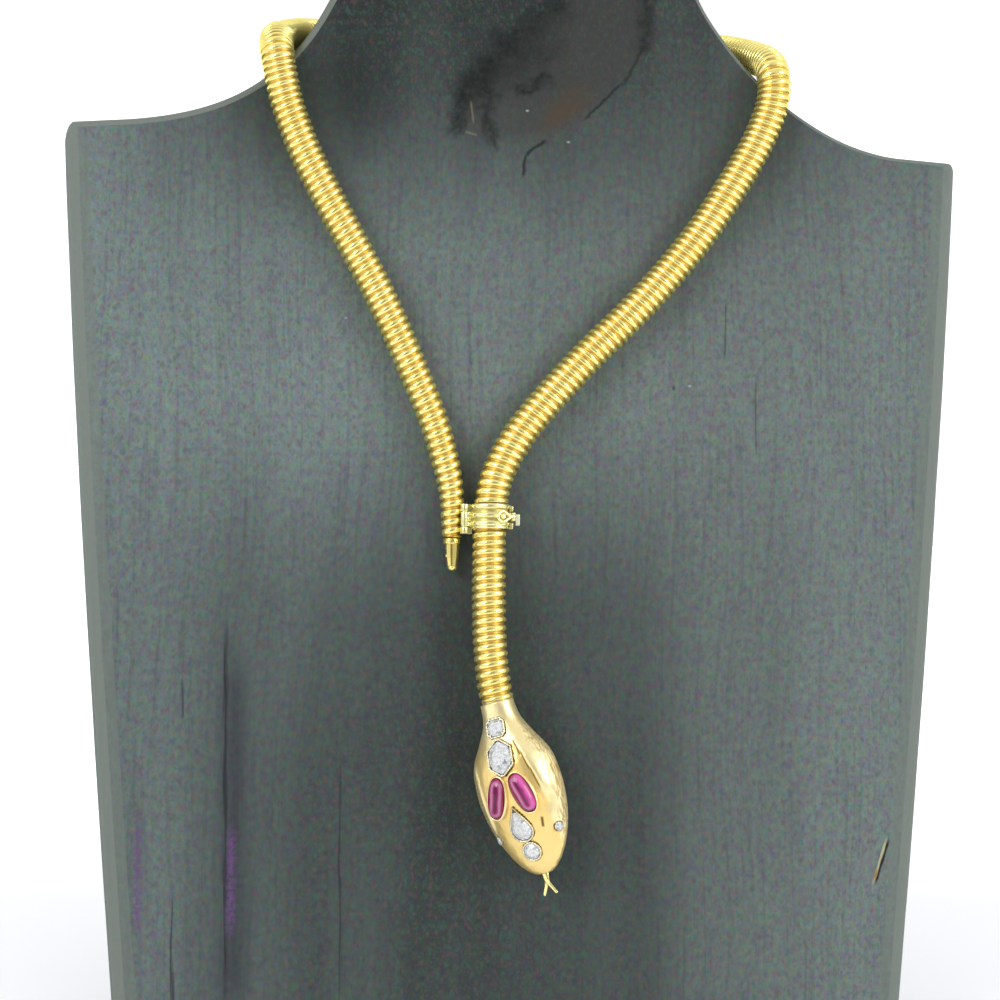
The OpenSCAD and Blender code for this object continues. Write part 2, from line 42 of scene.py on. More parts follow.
# Sizes and places of the part, in millimetres and degrees
MM = 0.001
LEAN = 15
BOARD_T = 18
FOOT_Y = BOARD_T / (2 * math.cos(math.radians(LEAN)))
CLASP_PLACE = (-5.55, 111.9, 4.5)
HEAD_PLACE = (-4.1, 73.4, 6.2)
HEAD_TURN = 16.3
HEAD_ROLL = 31
ROUTE = [
    (-13.4, 107.6, 2.5), (-13.4, 112, 2.55), (-13.6, 117, 2.8), (-14.8, 123, 3.1),
    (-17.5, 132, 3.3), (-21.4, 141.5, 3.4), (-25.6, 151, 3.55), (-30.1, 160.3, 3.6),
    (-35.2, 169.6, 3.7), (-40.4, 179, 3.75), (-45.2, 188.5, 3.75), (-48.8, 197.9, 3.75),
    (-50.4, 204.8, 3.78), (-51.1, 209.2, 3.25), (-51.1, 212.9, -1.5), (-49.9, 214.6, -7.5),
    (-48.2, 216.3, -13.5), (-45.4, 218.2, -20.2), (-40.2, 219.5, -26.4), (-32, 220.4, -32),
    (-22, 221.5, -36.5), (-10, 222.3, -39.2), (2, 222.5, -40), (14, 222.2, -38.9),
    (25, 221.4, -36), (35, 220.3, -31.6), (42.9, 218.9, -26), (48.2, 217.1, -20),
    (51.1, 215, -13.5), (52.9, 212.8, -7), (54.1, 210.6, -1.4), (54.4, 207.3, 2.9),
    (54.4, 203, 3.75), (53.2, 198, 3.75), (50.1, 191, 3.75), (45, 182.3, 3.75),
    (38.8, 172.8, 3.75), (31.5, 163.6, 3.75), (23.8, 155.1, 3.75), (15.2, 146.5, 3.75),
    (6.6, 137, 3.75), (0.4, 129.2, 3.95), (-3.5, 122.2, 4.3), (-5.1, 116.8, 4.5),
    (-5.6, 111, 4.5), (-5.8, 104, 4.8), (-5.8, 94.6, 5.4), (-5.6, 86, 5.9),
    (-5, 79.5, 6.1), (-4.1, 73.6, 6.2)]
TAPER = [(0, 2.05), (4, 2.35), (10, 2.65), (16, 2.95), (24, 3.1), (36, 3.2), (60, 3.35),
         (110, 3.5), (1000, 3.5)]
PITCH = 1.9
# Share of the pitch that is left between two ridges, by distance from the tail's end
CLOSER = [(0, 1), (24, 0.97), (40, 0.885), (90, 0.85), (103, 0.79), (108, 0.60), (122, 0.58),
          (128, 0.76), (262, 0.76), (290, 0.82), (350, 0.86), (380, 0.945), (1000, 0.945)]
TUBE_SIDES = 12
GAP = 0.1


def turn_about(axis, degrees):
    return Matrix.Rotation(math.radians(degrees), 4, axis)


ON_BOARD = Matrix.Translation((0, -FOOT_Y, 0)) @ turn_about("X", 90 - LEAN)
ON_CLASP = ON_BOARD @ Matrix.Translation(CLASP_PLACE)
ON_HEAD = (ON_BOARD @ Matrix.Translation(HEAD_PLACE) @ turn_about("Z", HEAD_TURN)
           @ turn_about("Y", -HEAD_ROLL))


def lookup(s, table, column=1):
    """Number from a table whose first column rises, with straight lines between its rows."""
    if s <= table[0][0]:
        return table[0][column]
    for low, high in zip(table, table[1:]):
        if s <= high[0]:
            part = (s - low[0]) / (high[0] - low[0])
            return low[column] + (high[column] - low[column]) * part
    return table[-1][column]


def smooth_step(low, high, x):
    t = min(max((x - low) / (high - low), 0), 1)
    return t * t * (3 - 2 * t)


def curve_at(a, b, c, d, t):
    """Smooth curve through b and c, with a before them and d after."""
    return 0.5 * (2 * b + (c - a) * t + (2 * a - 5 * b + 4 * c - d) * t * t
                  + (3 * b - a - 3 * c + d) * t * t * t)


def circle(radius, count):
    """Angle, cosine and sine of each step round a circle, scaled by its radius."""
    for j in range(count):
        a = 2 * math.pi * j / count
        yield a, radius * math.cos(a), radius * math.sin(a)


class Shape:
    """Corners and faces, with a colour mask and a texture place for each corner."""

    def __init__(self):
        self.points, self.faces, self.places, self.marks, self.flat = [], [], [], [], []

    def add(self, points, faces, move=None, marks=0.0, places=None, flat=False):
        base = len(self.points)
        points = [Vector(p) for p in points]
        if move is not None:
            points = [move @ p for p in points]
        self.points += points
        self.places += [Vector(p) for p in places] if places else [p.copy() for p in points]
        self.marks += list(marks) if hasattr(marks, "__len__") else [marks] * len(points)
        self.faces += [[base + i for i in face] for face in faces]
        self.flat += [flat] * len(faces)
        return self

    def build(self, name, at, material, body, nodes, slot_name, weld=1e-6, weighted=False):
        mesh = bpy.data.meshes.new(name)
        mesh.from_pydata([(at @ p) * MM for p in self.points], [], self.faces)
        mesh.attributes.new("place", "FLOAT_VECTOR", "POINT").data.foreach_set(
            "vector", [c for p in self.places for c in p])
        mesh.attributes.new("mark", "FLOAT", "POINT").data.foreach_set("value", self.marks)
        mesh.polygons.foreach_set("use_smooth", [not flat for flat in self.flat])
        work = bmesh.new()
        work.from_mesh(mesh)
        if weld:
            bmesh.ops.remove_doubles(work, verts=work.verts, dist=weld)
        bmesh.ops.recalc_face_normals(work, faces=work.faces)
        work.to_mesh(mesh)
        work.free()
        mesh.update()
        piece = bpy.data.objects.new(name, mesh)
        bpy.context.scene.collection.objects.link(piece)
        mesh.materials.append(material)
        if weighted:
            piece.modifiers.new("even_shading", "WEIGHTED_NORMAL").keep_sharp = True
        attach(piece, body)
        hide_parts(*nodes)
        return piece


def grid_faces(rows, columns, wrap=True):
    faces = []
    for i in range(rows - 1):
        for j in range(columns if wrap else columns - 1):
            k = (j + 1) % columns
            faces.append([i * columns + j, (i + 1) * columns + j, (i + 1) * columns + k, i * columns + k])
    return faces


def end_faces(rows, columns):
    """The two faces that close a wrapped grid at its first and last rows."""
    return [list(range(columns)), list(range((rows - 1) * columns, rows * columns))]


def seam_faces(rows, columns):
    """Faces that join a wrapped grid's last row to its first."""
    last = (rows - 1) * columns
    return [[last + j, j, (j + 1) % columns, last + (j + 1) % columns] for j in range(columns)]


def turned(shape, profile, move=None, sides=48, mark=0.0, facets=0, flat=False, stripes=None):
    """Turned form about z, from (radius, height) pairs."""
    points, marks = [], []
    for radius, height in profile:
        for a, across, up in circle(1, sides):
            r = radius
            if facets:
                step = 2 * math.pi / facets
                r = radius * math.cos(step / 2) / math.cos((a % step) - step / 2)
            points.append((r * across, r * up, height))
            marks.append(lookup(math.degrees(a), stripes) if stripes else mark)
    faces = grid_faces(len(profile), sides)
    for row, end in zip((0, -1), end_faces(len(profile), sides)):
        if profile[row][0] > 0:
            faces.append(end)
    shape.add(points, faces, move, marks, flat=flat)


def rounded_box(shape, low, high, bevel=0.08, move=None, mark=0.0):
    """Box with rounded edges."""
    work = bmesh.new()
    bmesh.ops.create_cube(work, size=1)
    for v in work.verts:
        v.co = Vector([low[i] + (v.co[i] + 0.5) * (high[i] - low[i]) for i in range(3)])
    bmesh.ops.bevel(work, geom=work.edges[:], offset=bevel, segments=3, profile=0.5, affect="EDGES")
    work.verts.index_update()
    points = [v.co.copy() for v in work.verts]
    shape.add(points, [[v.index for v in f.verts] for f in work.faces], move, mark)
    work.free()


def post_y(shape, at, radius, span, bevel=0.08, sides=36, mark=0.0):
    """Cylinder along y with rounded rims."""
    rim = [(radius - bevel + bevel * math.sin(math.radians(a)), bevel - bevel * math.cos(math.radians(a)))
           for a in (0, 30, 60, 90)]
    profile = [(0.0, span[0])]
    profile += [(r, span[0] + height) for r, height in rim]
    profile += [(r, span[1] - height) for r, height in rim[::-1]]
    profile += [(0.0, span[1])]
    turned(shape, profile, Matrix.Translation((at[0], 0, at[1])) @ turn_about("X", -90), sides, mark)


def wire(shape, path, radii, sides=12, closed=False, move=None, squeeze=(1, 1)):
    """Round wire along a list of points in the plane z = 0 or near it, with its own radius at each."""
    n = len(path)
    path = [Vector(p) for p in path]
    up = Vector((0, 0, 1))
    points = []
    for i, p in enumerate(path):
        ahead = path[(i + 1) % n] if closed or i < n - 1 else path[i]
        behind = path[i - 1] if closed or i > 0 else path[i]
        side = (ahead - behind).normalized().cross(up).normalized()
        for _, across, rise in circle(radii[i], sides):
            points.append(p + side * across * squeeze[0] + up * rise * squeeze[1])
    faces = grid_faces(n, sides)
    faces += seam_faces(n, sides) if closed else end_faces(n, sides)
    shape.add(points, faces, move)


def grey_or_colour(value):
    if isinstance(value, (int, float)):
        return (value, value, value, 1)
    return (*value[:3], 1)


def srgb(*channels):
    """Linear colour from the three channels of a screen colour, each 0 to 255."""
    shares = [c / 255 for c in channels]
    return tuple(c / 12.92 if c <= 0.04045 else ((c + 0.055) / 1.055) ** 2.4 for c in shares)


# Sockets of the colour mix node: factor, first and second colour, and its result
MIX_INPUTS = (0, 6, 7)
MIX_RESULT = 2


class Paint:
    """One material and the nodes that are added to it."""

    def __init__(self, name):
        self.made = bpy.data.materials.new(name)
        self.made.use_nodes = True
        self.tree = self.made.node_tree
        self.shader = self.tree.nodes["Principled BSDF"]

    def node(self, kind, **values):
        made = self.tree.nodes.new(kind)
        for key, value in values.items():
            if hasattr(made, key):
                setattr(made, key, value)
            else:
                made.inputs[key.replace("_", " ")].default_value = value
        return made

    def link(self, out, socket):
        self.tree.links.new(out, socket)

    def fill(self, socket, value):
        """Set a number or a colour on a socket, or link another socket to it."""
        if isinstance(value, (int, float)):
            socket.default_value = value
        elif isinstance(value, tuple):
            socket.default_value = grey_or_colour(value)
        else:
            self.link(value, socket)

    def put(self, **values):
        """Fill the shader's own sockets, named with underscores."""
        for key, value in values.items():
            self.fill(self.shader.inputs[key.replace("_", " ")], value)

    def math(self, operation, *values):
        made = self.node("ShaderNodeMath", operation=operation)
        for socket, value in zip(made.inputs, values):
            self.fill(socket, value)
        return made.outputs[0]

    def vector(self, operation, source, *values):
        made = self.node("ShaderNodeVectorMath", operation=operation)
        self.link(source, made.inputs[0])
        for socket, value in zip(made.inputs[1:], values):
            if isinstance(value, tuple):
                socket.default_value = value
            else:
                self.link(value, socket)
        return made.outputs[0]

    def mark(self, name="mark"):
        return self.node("ShaderNodeAttribute", attribute_name=name).outputs["Fac"]

    def place(self, scale=None, offset=(0, 0, 0)):
        """The place on the piece in millimetres, scaled and moved if asked."""
        source = self.node("ShaderNodeAttribute", attribute_name="place").outputs["Vector"]
        return self.vector("MULTIPLY_ADD", source, scale, offset) if scale else source

    def parts(self, vector):
        made = self.node("ShaderNodeSeparateXYZ")
        self.link(vector, made.inputs[0])
        return made.outputs

    def noise(self, vector, scale=1.0, detail=3.0, roughness=0.5, distortion=0.0, out="Fac"):
        made = self.node("ShaderNodeTexNoise", Scale=scale, Detail=detail, Roughness=roughness,
                         Distortion=distortion)
        self.link(vector, made.inputs["Vector"])
        return made.outputs[out]

    def span(self, value, low, high, first=0.0, last=1.0):
        """Straight change from one number to another, held beyond both ends."""
        made = self.node("ShaderNodeMapRange", From_Min=low, From_Max=high, To_Min=first, To_Max=last)
        self.link(value, made.inputs["Value"])
        return made.outputs["Result"]

    def ramp(self, value, stops, ease="LINEAR"):
        """Numbers or colours at three or more stops, with a smooth or straight change between them."""
        made = self.node("ShaderNodeValToRGB")
        made.color_ramp.interpolation = ease
        elements = made.color_ramp.elements
        while len(elements) > 1:
            elements.remove(elements[-1])
        elements[0].position = stops[0][0]
        elements[0].color = grey_or_colour(stops[0][1])
        for at, colour in stops[1:]:
            elements.new(at).color = grey_or_colour(colour)
        self.link(value, made.inputs["Fac"])
        return made.outputs["Color"]

    def mix(self, share, a, b, blend="MIX"):
        made = self.node("ShaderNodeMix", data_type="RGBA", blend_type=blend)
        for index, value in zip(MIX_INPUTS, (share, a, b)):
            self.fill(made.inputs[index], value)
        return made.outputs[MIX_RESULT]

    def over(self, tone, colour, mask, strength):
        """Lay a colour on a tone where the mask is."""
        return self.mix(self.math("MULTIPLY", mask, strength), tone, colour)

    def turned(self, parts, at, degrees):
        """Distances along and aside from a place, in a direction."""
        c, s = math.cos(math.radians(degrees)), math.sin(math.radians(degrees))
        ahead = self.math("MULTIPLY_ADD", parts[1], s, -(at[0] * c + at[1] * s))
        aside = self.math("MULTIPLY_ADD", parts[1], c, at[0] * s - at[1] * c)
        return self.math("MULTIPLY_ADD", parts[0], c, ahead), self.math("MULTIPLY_ADD", parts[0], -s, aside)

    def streak(self, parts, start, end, half, soft=0.4, wobble=None):
        """Soft line between two places, 1 on its middle and fading in its last 15 percent."""
        length = math.dist(start, end)
        angle = math.degrees(math.atan2(end[1] - start[1], end[0] - start[0]))
        ahead, aside = self.turned(parts, start, angle)
        if wobble is not None:
            aside = self.math("ADD", aside, wobble)
        near = self.span(self.math("ABSOLUTE", aside), soft * half, half, 1.0, 0.0)
        from_middle = self.math("ABSOLUTE", self.math("MULTIPLY_ADD", ahead, 1 / length, -0.5))
        return self.math("MULTIPLY", near, self.span(from_middle, 0.35, 0.5, 1.0, 0.0))

    def spot(self, parts, at, half_long, half_wide, degrees=0.0, full=0.3, edge=1.0, strength=1.0,
             rough=None):
        """Soft oval patch: its strength up to a share of its radius, and nothing past its edge."""
        ahead, aside = self.turned(parts, at, degrees)
        a = self.math("POWER", self.math("DIVIDE", ahead, half_long), 2.0)
        b = self.math("POWER", self.math("DIVIDE", aside, half_wide), 2.0)
        far = self.math("SQRT", self.math("ADD", a, b))
        if rough is not None:
            far = self.math("ADD", far, rough)
        return self.span(far, full, edge, strength, 0.0)

    def bump(self, height, strength=0.3, distance=0.1, below=None):
        """Relief of a depth in millimetres, on top of another one if given."""
        made = self.node("ShaderNodeBump", Strength=strength, Distance=distance * MM)
        self.link(height, made.inputs["Height"])
        if below is not None:
            self.link(below, made.inputs["Normal"])
        return made.outputs[0]


def gold(name, light, deep, hollow, rough=0.16):
    """Polished gold: light on the crests, darker with painted shade in marked hollows, with fine wear."""
    p = Paint(name)
    place = p.place()
    cloud = p.noise(place, 0.12, 2, 0.55)
    worn = p.noise(p.place((1, 1, 1), (3, 5, 7)), 2.2, 2, 0.6)
    lines = p.noise(p.place((0.5, 6, 6)), 1.6, 2, 0.65)
    grit = p.noise(place, 9, 1, 0.6)
    tone = p.mix(p.span(cloud, 0.35, 0.65), light, deep)
    tone = p.mix(p.span(worn, 0.5, 0.75, 0.0, 0.18), tone, hollow)
    # Painted shade: the hollow tone where the piece is marked
    tone = p.mix(p.mark(), tone, hollow)
    roughness = p.math("MULTIPLY_ADD", lines, 0.06, rough - 0.02)
    roughness = p.math("MULTIPLY_ADD", worn, 0.07, roughness)
    roughness = p.math("MULTIPLY_ADD", p.mark(), 0.12, roughness)
    scratched = p.bump(lines, 0.06, 0.05)
    p.put(Base_Color=tone, Metallic=0.8, Specular_Tint=light, Roughness=roughness)
    p.put(Normal=p.bump(grit, 0.07, 0.03, scratched))
    return p.made


yellow_gold = gold("yellow_gold", (0.97, 0.87, 0.33), (0.93, 0.79, 0.25), (0.70, 0.43, 0.09))
tip_gold = gold("tip_gold", (1.0, 0.92, 0.44), (0.98, 0.82, 0.28), (0.26, 0.20, 0.03), 0.14)
clasp_gold = gold("clasp_gold", (0.99, 0.94, 0.48), (0.96, 0.89, 0.40), (0.66, 0.54, 0.17), 0.18)
tab_gold = gold("tab_gold", (1.0, 0.97, 0.80), (1.0, 0.95, 0.70), (0.70, 0.60, 0.28), 0.42)

# Crease on the head, down from the neck and across, and the slit under the brow, across and up; painted shade
# lies along both
CREASE = [(8.6, 3.1), (11.4, 4.44), (14.8, 5.58), (18.8, 6.56), (22.6, 6.8), (25.2, 6.3)]
CREASE_ASIDE = 0.05
CREASE_OVERLAP = 0.6
BROW_SLIT = ((4.75, -24.9), (4.1, -27.3))
# Heights of the cheek, the sunk panel, the brow and the strip on the left edge, and their places
CHEEK_HIGH, SUNK_HIGH, BROW_HIGH, STRIP_HIGH = 0.42, -0.14, 0.22, 0.25
BROW_PLACE, BROW_SIZE = (25.2, 6.4), (1.6, 1.8)
STRIP_X, STRIP_HALF = -7.0, 0.45
# Head gold, two tones of each kind, the darker tone of its strokes, and the painted shade of its crease, slit
# and mouth
PALE_GOLD = ((1.0, 0.87, 0.50), (0.98, 0.81, 0.40))
ROSY_GOLD = ((0.97, 0.75, 0.32), (0.94, 0.69, 0.25))
STROKE_TONE = (0.44, 0.26, 0.08)
LINE_SHADE_TONE = (0.20, 0.10, 0.03)
HEAD_SHADE_TONE = (0.36, 0.19, 0.06)


def engraved_gold():
    """Head gold: rosy panels beside the stones, paler cheeks, engraved strokes along the edges, painted shade
    along the crease and the slit and in the mouth.
    """
    p = Paint("rose_gold")
    place = p.place()
    parts = p.parts(place)
    cloud = p.noise(place, 0.16, 3, 0.5)
    pale = p.mix(p.span(cloud, 0.35, 0.65), *PALE_GOLD)
    rosy = p.mix(p.span(cloud, 0.3, 0.6), *ROSY_GOLD)
    tone = p.mix(p.mark("panel"), pale, rosy)
    strokes = p.noise(p.place((2.4, 0.3, 2.4)), 1.0, 3, 0.55, 0.4)
    hatch = p.math("SINE", p.math("MULTIPLY_ADD", parts[1], 7.5, p.math("MULTIPLY", parts[0], 2.5)))
    cut = p.math("MULTIPLY", p.span(strokes, 0.48, 0.60), p.mark("engraved"))
    ticks = p.math("MULTIPLY", p.span(hatch, 0.1, 0.9, 0.0, 0.55), p.mark("hatched"))
    cut = p.math("MAXIMUM", cut, ticks)
    # Painted shade along the slit under the brow and along the crease
    lines = p.streak(parts, *BROW_SLIT, 0.38, 0.45)
    for (t0, x0), (t1, x1) in zip(CREASE[:3], CREASE[1:4]):
        start = (x0 - CREASE_ASIDE, -t0 + CREASE_OVERLAP)
        end = (x1 - CREASE_ASIDE, -t1 - CREASE_OVERLAP)
        lines = p.math("MAXIMUM", lines, p.streak(parts, start, end, 0.26, 0.2))
    above = p.span(parts[2], 0.0, 0.6)
    lines = p.math("MULTIPLY", p.math("MULTIPLY", lines, above), 0.95)
    tone = p.over(tone, STROKE_TONE, cut, 0.8)
    tone = p.mix(lines, tone, LINE_SHADE_TONE)
    # Painted shade where marked: the mouth's line, the stones' pockets and the neck stub
    tone = p.mix(p.mark(), tone, HEAD_SHADE_TONE)
    fine = p.noise(p.place((3.5, 0.5, 3.5)), 1.4, 3, 0.65)
    soft = p.noise(p.place((1, 0.6, 1), (9, 2, 4)), 0.6, 2, 0.5)
    roughness = p.math("MULTIPLY_ADD", cut, 0.18, p.math("MULTIPLY_ADD", fine, 0.12, 0.27))
    engraved = p.bump(p.math("SUBTRACT", 1.0, p.math("MAXIMUM", cut, lines)), 0.5, 0.12)
    p.put(Base_Color=tone, Metallic=0.72, Specular_Tint=(1.0, 0.82, 0.5), Roughness=roughness)
    p.put(Normal=p.bump(soft, 0.5, 0.3, engraved))
    return p.made


head_gold = engraved_gold()


def white_metal():
    p = Paint("white_metal")
    grain = p.noise(p.place(), 3.5, 4, 0.6)
    tone = p.mix(p.span(grain, 0.4, 0.7), (0.96, 0.92, 0.76), (0.84, 0.78, 0.56))
    # Painted shade where marked, on the cups' walls and between their milled teeth
    tone = p.mix(p.mark(), tone, (0.66, 0.58, 0.38))
    p.put(Base_Color=tone, Metallic=0.9, Roughness=p.math("MULTIPLY_ADD", grain, 0.15, 0.2))
    p.put(Normal=p.bump(grain, 0.15, 0.05))
    return p.made


silver_metal = white_metal()

# Painted reflections: tones that the facets of a clear stone mirror
FACET_REFLECTIONS = [(0.0, (0.30, 0.33, 0.34)), (0.14, (0.50, 0.53, 0.54)), (0.26, (0.86, 0.87, 0.86)),
               (0.6, (0.98, 0.98, 0.97)), (1.0, (1.0, 1.0, 1.0))]
GLINT_TONE = (0.46, 0.49, 0.50)
HIGHLIGHT_TONE = (1.0, 1.0, 1.0)


def clear_stone():
    p = Paint("clear_stone")
    haze_and_highlight = p.noise(p.place(), 1.7, 2, 0.6)
    glint = p.noise(p.place((1, 1, 1), (4, 7, 2)), 2.4, 2, 0.6)
    # Painted reflections: a tone for each facet, grey glints, and white highlights that follow the haze
    tone = p.ramp(p.mark("facet"), FACET_REFLECTIONS)
    tone = p.mix(p.span(glint, 0.46, 0.56, 0.0, 0.55), tone, GLINT_TONE)
    tone = p.mix(p.span(haze_and_highlight, 0.55, 0.62, 0.0, 0.9), tone, HIGHLIGHT_TONE)
    p.put(Base_Color=tone, Transmission_Weight=0.25, IOR=2.1, Roughness=p.math("MULTIPLY", haze_and_highlight, 0.08))
    p.put(Normal=p.bump(haze_and_highlight, 0.04, 0.05))
    return p.made


clear_gem = clear_stone()

# Red stone from its middle line (0) to its rim (1), with painted shade in the middle and a painted pale
# reflection on each side, and the share of painted pink light from left to right
RED_TONES = [(0.08, (0.10, 0.0015, 0.035)), (0.22, (0.24, 0.003, 0.085)), (0.34, (0.50, 0.05, 0.24)),
             (0.46, (0.52, 0.24, 0.36)), (0.58, (0.48, 0.18, 0.30)), (0.72, (0.40, 0.02, 0.12)),
             (0.9, (0.26, 0.005, 0.04)), (1.0, (0.14, 0.003, 0.02))]
PINK_LIGHT_ACROSS = [(0.52, 0.0), (0.72, 0.85), (0.88, 0.85), (0.98, 0.2)]
PINK_LIGHT_TONE = (0.78, 0.11, 0.44)


def red_stone():
    """Deep red stone: dark along its middle as painted shade, a pale streak of painted reflection on each
    side, a red rim, and painted pink light on its right where marked rosy.
    """
    p = Paint("red_stone")
    veil = p.noise(p.place((1, 0.5, 1)), 0.9, 4, 0.6, 0.5)
    across = p.math("MULTIPLY_ADD", p.parts(p.place())[0], 0.25, 0.5)
    core = p.math("MULTIPLY_ADD", p.math("SUBTRACT", veil, 0.5), 0.25, p.mark())
    pink = p.math("MULTIPLY", p.ramp(across, PINK_LIGHT_ACROSS), p.span(veil, 0.3, 0.6, 0.4, 1.0))
    # Painted shade, pale reflections and rim by distance from the middle, then painted pink light on the
    # right
    tone = p.over(p.ramp(core, RED_TONES), PINK_LIGHT_TONE, pink, p.mark("rosy"))
    p.put(Base_Color=tone, Transmission_Weight=0.12, IOR=1.6, Specular_IOR_Level=0.3)
    p.put(Coat_Weight=0.12, Coat_Roughness=0.05, Roughness=p.math("MULTIPLY_ADD", veil, 0.08, 0.08))
    p.put(Normal=p.bump(veil, 0.05, 0.1))
    return p.made


red_gem = red_stone()

# Painted shade over the stain, how dark it is by place across (0 to 1 over its width) and up (0 to 1 over its
# height)
STAIN_WIDE, STAIN_HIGH = 200.0, 240.0
MIDDLE_ACROSS = [(0.02, 0.25), (0.12, 0.32), (0.2, 0.62), (0.31, 0.72), (0.42, 0.86), (0.53, 0.88),
                 (0.62, 0.72), (0.73, 0.27), (0.86, 0.04)]
MIDDLE_UP = [(0.0, 0.95), (0.25, 1.0), (0.36, 0.9), (0.60, 0.0)]
NECK_ACROSS = [(0.07, 0.3), (0.20, 0.87), (0.32, 1.0), (0.60, 1.0), (0.68, 0.8), (0.82, 0.7), (0.93, 0.42)]
NECK_UP = [(0.58, 0.0), (0.70, 0.2), (0.79, 0.66), (0.85, 0.9), (0.92, 1.0)]
# Tones of the stained wood: light, with painted shade from left to right, dark for its grain and painted
# shade, its fine lines, its flecks, and the painted sheen on a band and on the rim
LIGHT_STAIN_AND_SHADE = [(0.3, srgb(111, 122, 121)), (0.7, srgb(103, 112, 110)), (0.97, srgb(108, 118, 116))]
DARK_STAIN_AND_SHADE = srgb(42, 48, 46)
GRAIN_TONE = srgb(52, 57, 58)
GREEN_FLECK = srgb(62, 90, 80)
ROSE_FLECK = srgb(92, 76, 78)
BAND_SHEEN_TONE = srgb(106, 114, 106)
RIM_SHEEN_TONE = srgb(116, 123, 115)

# How far the grain wanders aside, and its textures' steps per millimetre: across, along and in depth
WANDER, WANDER_SCALE = 9.0, (0.02, 0.012, 0.02)
WIDE_GRAIN, FINE_GRAIN = (0.06, 0.006, 0.05), (0.9, 0.03, 0.8)
SPECKLE, FLECK = ((0.8, 0.5, 0.9), (7, 3, 1)), ((0.95, 0.7, 0.9), (1, 6, 2))
RELIEF_SCALE = (0.9, 0.05, 0.9)
FLECK_SHARE = 0.42

# Knot, in millimetres across and up: its middle, half sizes and lean, its dark heart and brown patch
KNOT = (8.0, 208.4)
KNOT_SIZE = (26.1, 12.4)
KNOT_LEAN = 35.4
KNOT_TONE, KNOT_STRENGTH = srgb(60, 59, 57), 0.55
# How far the dark bands, the thin edge and the lines along the grain waver, and how soft they are
BAND_SWING, EDGE_SWING, LINE_SWING, STREAK_SOFT = 7.0, 1.6, 1.6, 0.1
HEART, HEART_SIZE = (0.6, 209.6), (14.0, 6.6)
HEART_TONE = srgb(24, 28, 28)
BROWN, BROWN_SIZE, BROWN_LEAN = (10.4, 199.4), (9.5, 4.4), 42
BROWN_TONE = srgb(82, 62, 42)
# Soft dark bands of the knot and its thin lower edge: two ends, half width and strength
KNOT_BANDS = [((-10.2, 208.0), (-13.6, 192.0), 2.5, 0.95), ((-13.0, 198.5), (-1.5, 215.5), 4.6, 0.95),
              ((-5.0, 211.5), (11.5, 223.6), 4.4, 0.95), ((28.2, 229.0), (26.6, 210.5), 3.0, 0.9),
              ((-6.7, 212.0), (-6.3, 195.5), 2.6, 0.9), ((-6.5, 199.0), (-4.6, 189.4), 1.9, 0.85),
              ((-1.0, 202.6), (8.0, 206.4), 2.0, 0.95)]
KNOT_BAND_TONE = srgb(25, 30, 28)
KNOT_EDGE = [((27.4, 214.0), (22.4, 204.6), 0.6, 0.6), ((23.0, 205.8), (13.6, 196.6), 0.5, 0.75),
             ((6.3, 193.0), (1.4, 189.0), 0.6, 0.85), ((1.7, 189.7), (1.2, 184.4), 0.45, 0.8)]
KNOT_EDGE_TONE = srgb(30, 32, 32)
# Darker stain and painted shadow of the tube on the neck's left, dark lines along the grain, and the wide
# shade round the longest
NECK_STAIN_AND_SHADOW, NECK_STAIN_AND_SHADOW_SIZE, NECK_STAIN_AND_SHADOW_TONE = (-36.0, 202.0), (14.0, 18.0), srgb(30, 34, 33)
DARK_LINES = [((-60.2, 94.0), (-59.1, 8.0), 0.55, 0.85), ((-69.0, 78.0), (-68.9, 69.0), 0.4, 0.6),
              ((-70.4, 34.0), (-70.0, 8.0), 0.4, 0.7), ((44.6, 159.5), (44.7, 146.0), 0.35, 0.6),
              ((51.3, 143.5), (51.3, 125.0), 0.35, 0.5), ((-36.1, 64.0), (-35.5, 8.0), 0.35, 0.6)]
DARK_LINE_TONE = srgb(36, 39, 40)
SHADE, SHADE_HALF, SHADE_TONE = ((-58.0, 88.0), (-57.4, 4.0)), 4.6, srgb(46, 46, 54)
SHADE_STRENGTH, SPOT_STRENGTH = 0.62, 0.7
# Small marks: one dark dot, violet streaks, pale specks, two scratches, and a crack filled with pale dust
DOT, DOT_SIZE, DOT_TONE = (33.7, 140.2), (0.5, 0.8), srgb(40, 44, 44)
VIOLET = [((-77.8, 50.0), (-77.4, 24.0), 1.2), ((-58.4, 48.0), (-58.2, 24.0), 1.5)]
VIOLET_TONE = srgb(100, 68, 116)
PALE_SPECKS = [(37.1, 140.7), (-35.9, 153.7), (2.1, 198.8), (10.9, 192.3)]
SPECK_SIZE, SPECK_TONE = (0.5, 0.35), srgb(150, 162, 152)
SCRATCHES = [((-10.0, 200.8), (-9.3, 195.6)), ((-11.2, 194.0), (-8.4, 193.2))]
SCRATCH_TONE, SCRATCH_HALF, SCRATCH_STRENGTH = srgb(134, 122, 100), 0.35, 0.45
CRACK = ((79.4, 45.9), (76.2, 35.6))
CRACK_SHADE = ((79.9, 45.9), (76.75, 35.6))
CRACK_DARK, CRACK_PALE = srgb(34, 36, 34), srgb(176, 172, 132)
RUST, RUST_SIZE, RUST_LEAN, RUST_TONE = (77.0, 38.0), (1.8, 0.45), 72, srgb(140, 112, 58)


